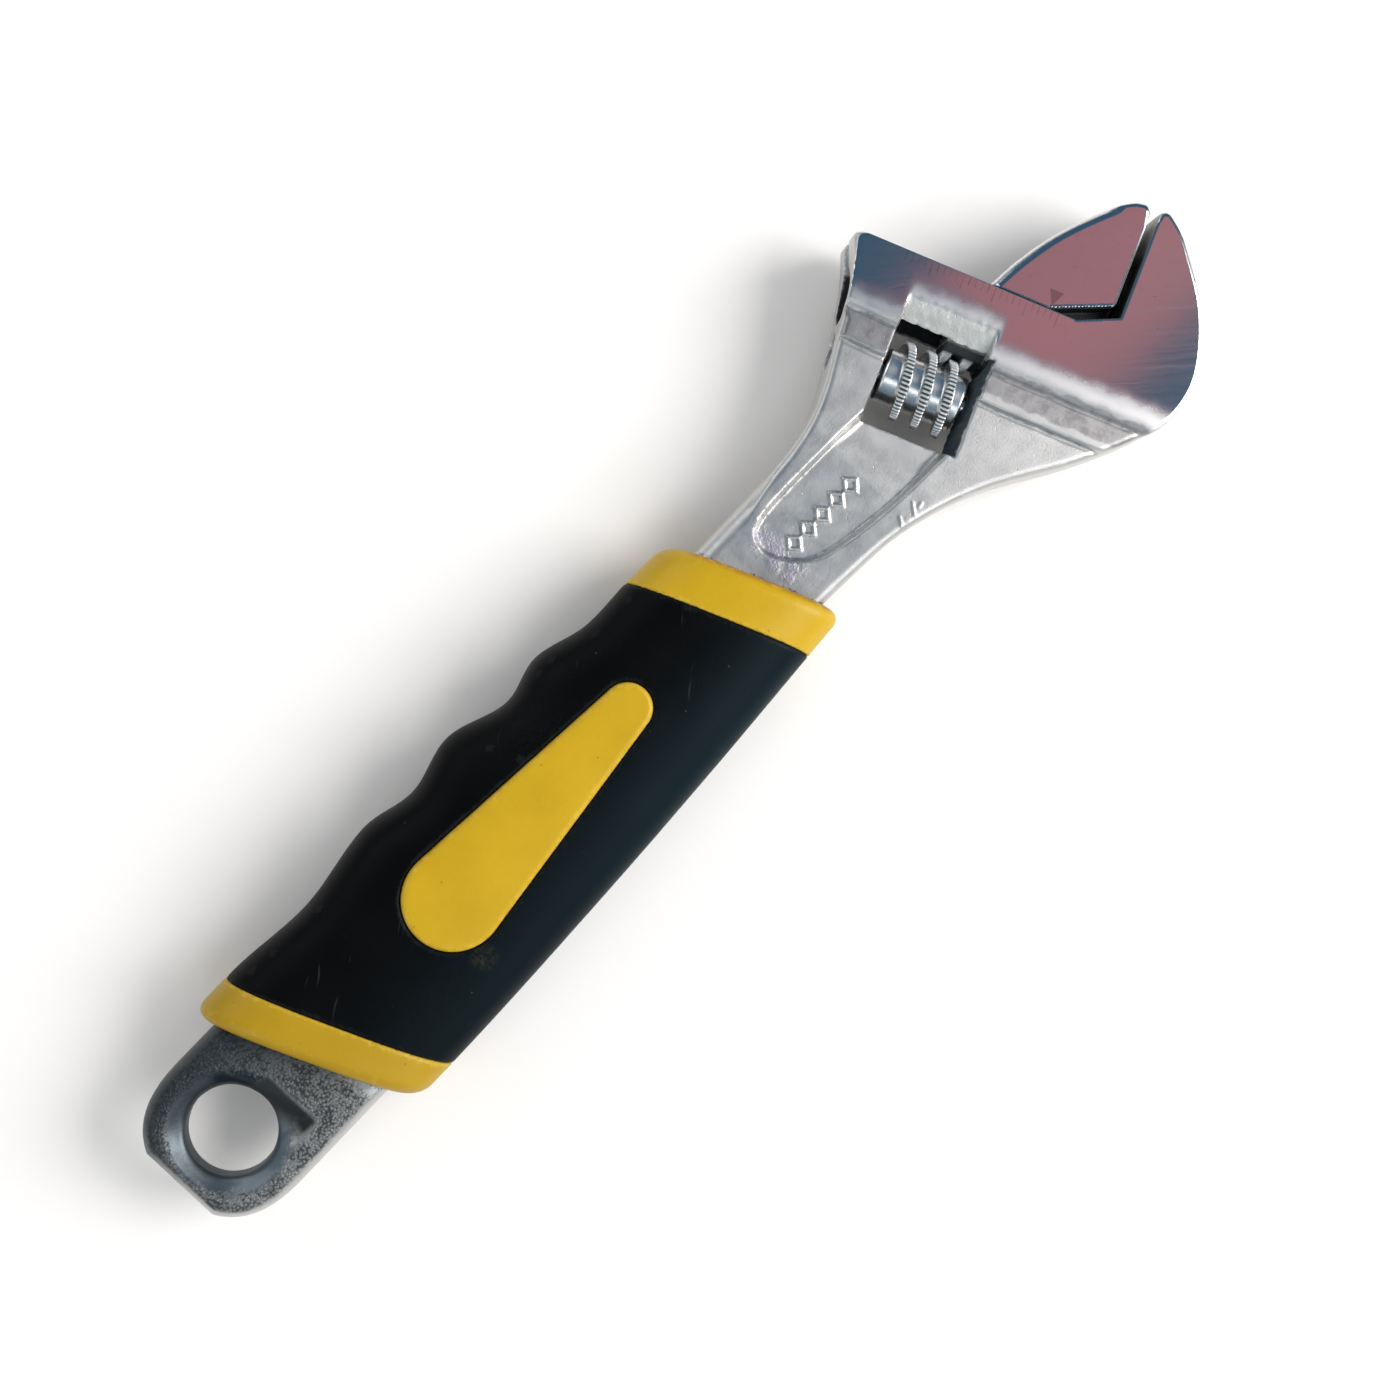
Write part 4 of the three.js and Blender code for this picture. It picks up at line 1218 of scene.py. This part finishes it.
def jaw_steel():
    m = Finish("ground_jaw", 1.0)
    u, v, z = m.parts(m.head)
    height = m.math("ABSOLUTE", z)
    edges = m.use(rubbed_edges, Place=m.head)
    skin = m.use(plated_skin, Place=m.head)
    _, mirror, ground_height = ground_lines(m, 70)
    ground = m.soft(height, JAW_HALF - 0.3, JAW_HALF - 0.05)
    face = m.times(
        m.soft(v, JAW_FACE_V + 0.32, JAW_FACE_V + 0.2), m.soft(u, HEEL_U - 0.5, HEEL_U),
        less_at_tip(m, u),
    )
    under = m.times(
        m.soft(height, JAW_HALF - 0.9, JAW_HALF - 1.4), m.soft(u, HEEL_U + 2.6, HEEL_U + 1),
        m.soft(v, WINDOW[2] + 0.3, WINDOW[2] - 0.3),
    )
    crest_u = WORM_U + THREAD_R
    in_window = m.soft(v, WINDOW[2] - 0.6, WINDOW[2])
    above_teeth = m.times(
        m.soft(u, crest_u - 0.3, crest_u + 0.3), m.soft(u, WINDOW[1] + 1.5, WINDOW[1] + 0.5),
        in_window,
    )
    teeth = m.times(m.soft(u, crest_u, crest_u - 0.4), in_window)
    # Painted shade, dark and less metallic, on the jaw's face in the mouth, under the head and above
    # the rack's teeth.
    painted_shade = m.most(face, under, above_teeth)
    colour = m.paint(
        m.colour(skin["Mottle"], (0.66, 0.65, 0.66), (0.74, 0.725, 0.73)),
        (m.times(pointer_mark(m, u, v), ground, 0.45), (0.16, 0.12, 0.13)),
        # painted highlight: the rack's teeth in the window are painted near white
        (teeth, (0.9, 0.9, 0.9)),
        (painted_shade, (0.007, 0.01, 0.012)),
        (m.times(edges["Hollow"], 0.6), (0.08, 0.08, 0.09)),
        (m.times(edges["Worn"], 0.3, m.rest(painted_shade)), (0.85, 0.85, 0.86)),
    )
    duller = m.times(m.add(painted_shade, m.times(teeth, 0.5)), 0.3)
    side = m.add(m.spread(skin["Mottle"], 0.24, 0.34), duller)
    normal = m.bump(m.times(skin["Height"], m.rest(ground)), 0.02)
    normal = m.bump(m.times(ground_height, ground), 0.004, normal)
    return m.finish(colour, m.blend(ground, side, mirror), normal, m.rest(painted_shade))


def worm_steel():
    """Bright turned steel, with a straight knurl across the thread's crest whose grooves are painted
    dark as shade.
    """
    m = Finish("turned_worm", 1.0)
    u, _, z = m.parts(m.head)
    from_axis = m.less(u, WORM_U)
    radius = m.distance(from_axis, z)
    edges = m.use(rubbed_edges, Place=m.head)
    skin = m.use(plated_skin, Place=m.head)
    turned = m.grain(m.stretched(m.head, (0.3, 9.0, 0.3)), 1.0, 4, 0.6)
    cut = m.math("COSINE", m.times(m.math("ARCTAN2", from_axis, z), KNURLS))
    cut = m.times(m.soft(cut, 0.1, -0.75), m.within(radius, THREAD_R - 0.8, THREAD_R + 0.5, 0.15))
    flank = m.within(radius, THREAD_ROOT_R + 0.3, THREAD_R - 0.45, 0.2)
    colour = m.paint(
        m.colour(skin["Mottle"], (0.84, 0.85, 0.84), (0.92, 0.92, 0.91)),
        # painted dark-teal shade on the thread's flanks
        (m.times(flank, 0.55), (0.10, 0.13, 0.13)),
        # painted shade in the knurl's grooves
        (m.times(cut, 0.8), (0.03, 0.04, 0.04)),
        (m.times(edges["Hollow"], 0.35), (0.05, 0.06, 0.06)),
    )
    on_crest = m.soft(radius, THREAD_R - 0.5, THREAD_R - 0.2)
    roughness = m.add(m.spread(turned, 0.26, 0.36), m.times(on_crest, 0.12))
    return m.finish(colour, roughness, m.bump(m.add(turned, skin["Height"]), 0.003))


def plain_steel(name, tone, streak):
    """Turned or drawn steel with fine lines, darker in its hollows."""
    m = Finish(name, 1.0)
    edges = m.use(rubbed_edges, Place=m.head)
    skin = m.use(plated_skin, Place=m.head)
    lines = m.grain(m.stretched(m.head, streak), 1.0, 4, 0.6)
    colour = m.paint(
        m.colour(skin["Mottle"], tuple(part * 0.75 for part in tone), tone),
        (m.times(edges["Hollow"], 0.6), (0.05, 0.05, 0.05)),
        (m.times(edges["Worn"], 0.5), (0.8, 0.8, 0.8)),
    )
    return m.finish(colour, m.spread(lines, 0.22, 0.4), m.bump(lines, 0.008))


def yellow_plastic():
    m = Finish("yellow_moulding", 0.0, specular=0.3)
    x, y, _ = m.parts(m.handle)
    slanted = m.slanted(x, y)
    edges = m.use(rubbed_edges, Place=m.handle)
    broad = m.grain(m.handle, 0.12, 4, 0.6)
    fine = m.grain(m.handle, 2.4, 4, 0.6)
    # Painted shade: the yellow darkens towards the rear collar.
    duller = m.soft(slanted, REAR_SEAM + 4, REAR_SEAM - 2)
    ends = m.most(
        m.soft(slanted, GRIP_REAR + 1.1, GRIP_REAR - 0.6),
        m.soft(slanted, GRIP_FRONT - 1.0, GRIP_FRONT + 0.4),
    )
    grime = m.grime(m.times(ends, 0.62))
    # A thin darker orange line along the front collar's edge, where it meets the steel.
    orange_edge_line = m.times(
        m.within(slanted, GRIP_FRONT - 0.7, GRIP_FRONT + 0.9, 0.5),
        m.within(y, -10.5, 10.2, 0.8), m.soft(m.grain(m.handle, 0.8, 4), 0.34, 0.5),
    )
    specks = m.soft(m.cells(m.handle, 0.33), 0.075, 0.03)
    colour = m.paint(
        m.colour(m.spread(broad, 0, 1), (0.47, 0.295, 0.004), (0.52, 0.33, 0.005)),
        (m.times(duller, 0.5), (0.29, 0.17, 0.002)),
        (m.times(grime, 0.8), (0.10, 0.055, 0.015)),
        (m.times(orange_edge_line, 0.6), (0.28, 0.10, 0.006)),
        (m.times(specks, 0.6), (0.16, 0.10, 0.02)),
        (m.times(edges["Hollow"], 0.35), (0.16, 0.10, 0.02)),
        (m.times(edges["Worn"], 0.25), (0.72, 0.54, 0.10)),
    )
    roughness = m.scale(m.add(broad, fine), 0.6, 1.4, 0.36, 0.5)
    roughness = m.add(roughness, m.times(grime, 0.2))
    return m.finish(colour, roughness, m.bump(m.add(fine, m.times(broad, 2)), 0.02))


def smudge(m, x, y, at, size):
    """A soft round dirty patch, broken up."""
    away = m.distance(m.times(m.less(x, at[0]), 1 / size), m.times(m.less(y, at[1]), 1 / size))
    return m.times(m.soft(away, 1.0, 0.2), m.soft(m.grain(m.handle, 2.2, 5, 0.7), 0.42, 0.62))


def black_rubber():
    m = Finish("black_cover_rubber", 0.0, specular=0.07)
    x, y, _ = m.parts(m.handle)
    edges = m.use(rubbed_edges, Place=m.handle)
    broad = m.grain(m.handle, 0.1, 4, 0.6)
    fine = m.grain(m.handle, 4.5, 3, 0.6)
    lines = m.use(fine_scratches, Place=m.handle, Turn=math.radians(-35))
    rare = m.times(lines["Deep"], m.soft(m.grain(m.handle, 0.09, 2), 0.55, 0.66))
    # Painted sheen: a navy-teal tint along the palm side, stronger towards the front.
    painted_palm_sheen = m.times(m.scale(y, 1, -12, 0, 1), m.scale(x, 20, 80, 0.35, 1))
    dirt = m.most(
        smudge(m, x, y, (42.5, -8.5), 2.6), m.times(smudge(m, x, y, (70, 8), 9), 0.1)
    )
    specks = m.soft(m.cells(m.handle, 0.27), 0.05, 0.02)
    colour = m.paint(
        m.colour(broad, (0.0008, 0.0011, 0.0014), (0.0018, 0.0024, 0.003)),
        (painted_palm_sheen, (0.0030, 0.0105, 0.0150)),
        (m.times(edges["Worn"], 0.35), (0.014, 0.016, 0.018)),
        (m.times(rare, 0.5), (0.03, 0.032, 0.035)),
        (m.times(dirt, 0.5), (0.04, 0.04, 0.025)),
        (m.times(specks, 0.5), (0.07, 0.06, 0.05)),
    )
    roughness = m.add(m.spread(broad, 0.4, 0.52), m.times(dirt, 0.2))
    return m.finish(colour, roughness, m.bump(m.add(fine, m.times(rare, -0.6)), 0.02))


def finish_piece(piece, body, node, material):
    piece.data.materials.append(material)
    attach(piece, body)
    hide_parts(node)


turned_pin = plain_steel("turned_pin", (0.6, 0.6, 0.6), (0.3, 9, 0.3))
drawn_wire = plain_steel("drawn_wire", (0.5, 0.5, 0.51), (3, 3, 3))
finish_piece(make_body(), "frame", "body", forged_steel())
finish_piece(make_jaw(), "jaw", "movable_jaw", jaw_steel())
finish_piece(make_worm(), "worm", "worm", worm_steel())
finish_piece(make_pin(), "frame", "worm_pin", turned_pin)
finish_piece(make_spring(), "frame", "worm_spring", drawn_wire)
finish_piece(make_core(), "frame", "grip_core", yellow_plastic())
finish_piece(make_cover(), "frame", "grip_cover", black_rubber())


# ---- Floor, light and camera ----
FLOOR_REACH = 3.0  # metres
PAPER_TONE = (0.86, 0.86, 0.86, 1)
ROOM_TONE = (0.4, 0.41, 0.42)
MIRRORED_TONE = (0.048, 0.115, 0.185)

# Name, place, aim, size and strength of each lamp, in the handle's millimetres, and its colour.
LAMPS = [
    ("window_light", (520, -420, 480), (90, 0, 0), (500, 500), 8.5, (1, 0.97, 0.94)),
    ("side_fill", (-150, -620, 420), (40, 0, 0), (500, 300), 2.0, (1, 0.98, 0.95)),
    ("back_fill", (100, 700, 480), (90, 0, 0), (700, 350), 2.0, (1, 0.97, 0.93)),
    ("tail_fill", (-560, 60, 380), (120, 0, 0), (300, 500), 2.0, (1, 0.97, 0.92)),
    ("low_glint", (-110, -190, 520), (150, 0, 0), (150, 150), 3.0, (1, 1, 1)),
    ("pink_card", (400, -34, 600), (400, -34, 0), (200, 96), 0.40, (1, 0.22, 0.12)),
]

CAMERA_PLACE = (68.1, 11.6, 283.3)  # in the handle's frame
CAMERA_TURN = (0.79, -5.65, -46.13)  # degrees


def make_floor():
    mesh = bpy.data.meshes.new("floor")
    r = FLOOR_REACH
    mesh.from_pydata([(-r, -r, 0), (r, -r, 0), (r, r, 0), (-r, r, 0)], [], [(0, 1, 2, 3)])
    floor = bpy.data.objects.new("floor", mesh)
    paper = bpy.data.materials.new("pale_paper")
    paper.use_nodes = True
    shader = paper.node_tree.nodes["Principled BSDF"]
    shader.inputs["Base Color"].default_value = PAPER_TONE
    shader.inputs["Roughness"].default_value = 0.95
    shader.inputs["Specular IOR Level"].default_value = 0.1
    floor.data.materials.append(paper)
    bpy.context.scene.collection.objects.link(floor)


def make_lamp(name, place, aim, size, radiance, colour):
    """A flat soft lamp."""
    lamp = bpy.data.lights.new(name, "AREA")
    lamp.shape = "RECTANGLE"
    lamp.size, lamp.size_y = size[0] * MM, size[1] * MM
    lamp.energy = radiance * math.pi * lamp.size * lamp.size_y
    lamp.color = colour
    holder = bpy.data.objects.new(name, lamp)
    place, aim = HANDLE_PLACE @ Vector(place), HANDLE_PLACE @ Vector(aim)
    holder.location = place
    holder.rotation_euler = (aim - place).to_track_quat("-Z", "Y").to_euler()
    bpy.context.scene.collection.objects.link(holder)


def make_camera():
    data = bpy.data.cameras.new("camera")
    data.sensor_width = 36
    data.lens = 50
    camera = bpy.data.objects.new("camera", data)
    camera.location = HANDLE_PLACE @ Vector(CAMERA_PLACE)
    camera.rotation_euler = [math.radians(turn) for turn in CAMERA_TURN]
    bpy.context.scene.collection.objects.link(camera)
    bpy.context.scene.camera = camera


def make_world():
    """Soft even light on dull surfaces; bright metal mirrors a dark blue room."""
    world = bpy.data.worlds.new("studio")
    world.use_nodes = True
    g = Graph(world.node_tree)
    background = world.node_tree.nodes["Background"]
    mirrored = g.put("ShaderNodeLightPath").outputs["Is Glossy Ray"]
    g.feed(background.inputs["Color"], g.colour(mirrored, ROOM_TONE, MIRRORED_TONE))
    bpy.context.scene.world = world


make_floor()
for lamp in LAMPS:
    make_lamp(*lamp)
make_world()
make_camera()
bpy.context.scene.view_settings.view_transform = "Standard"
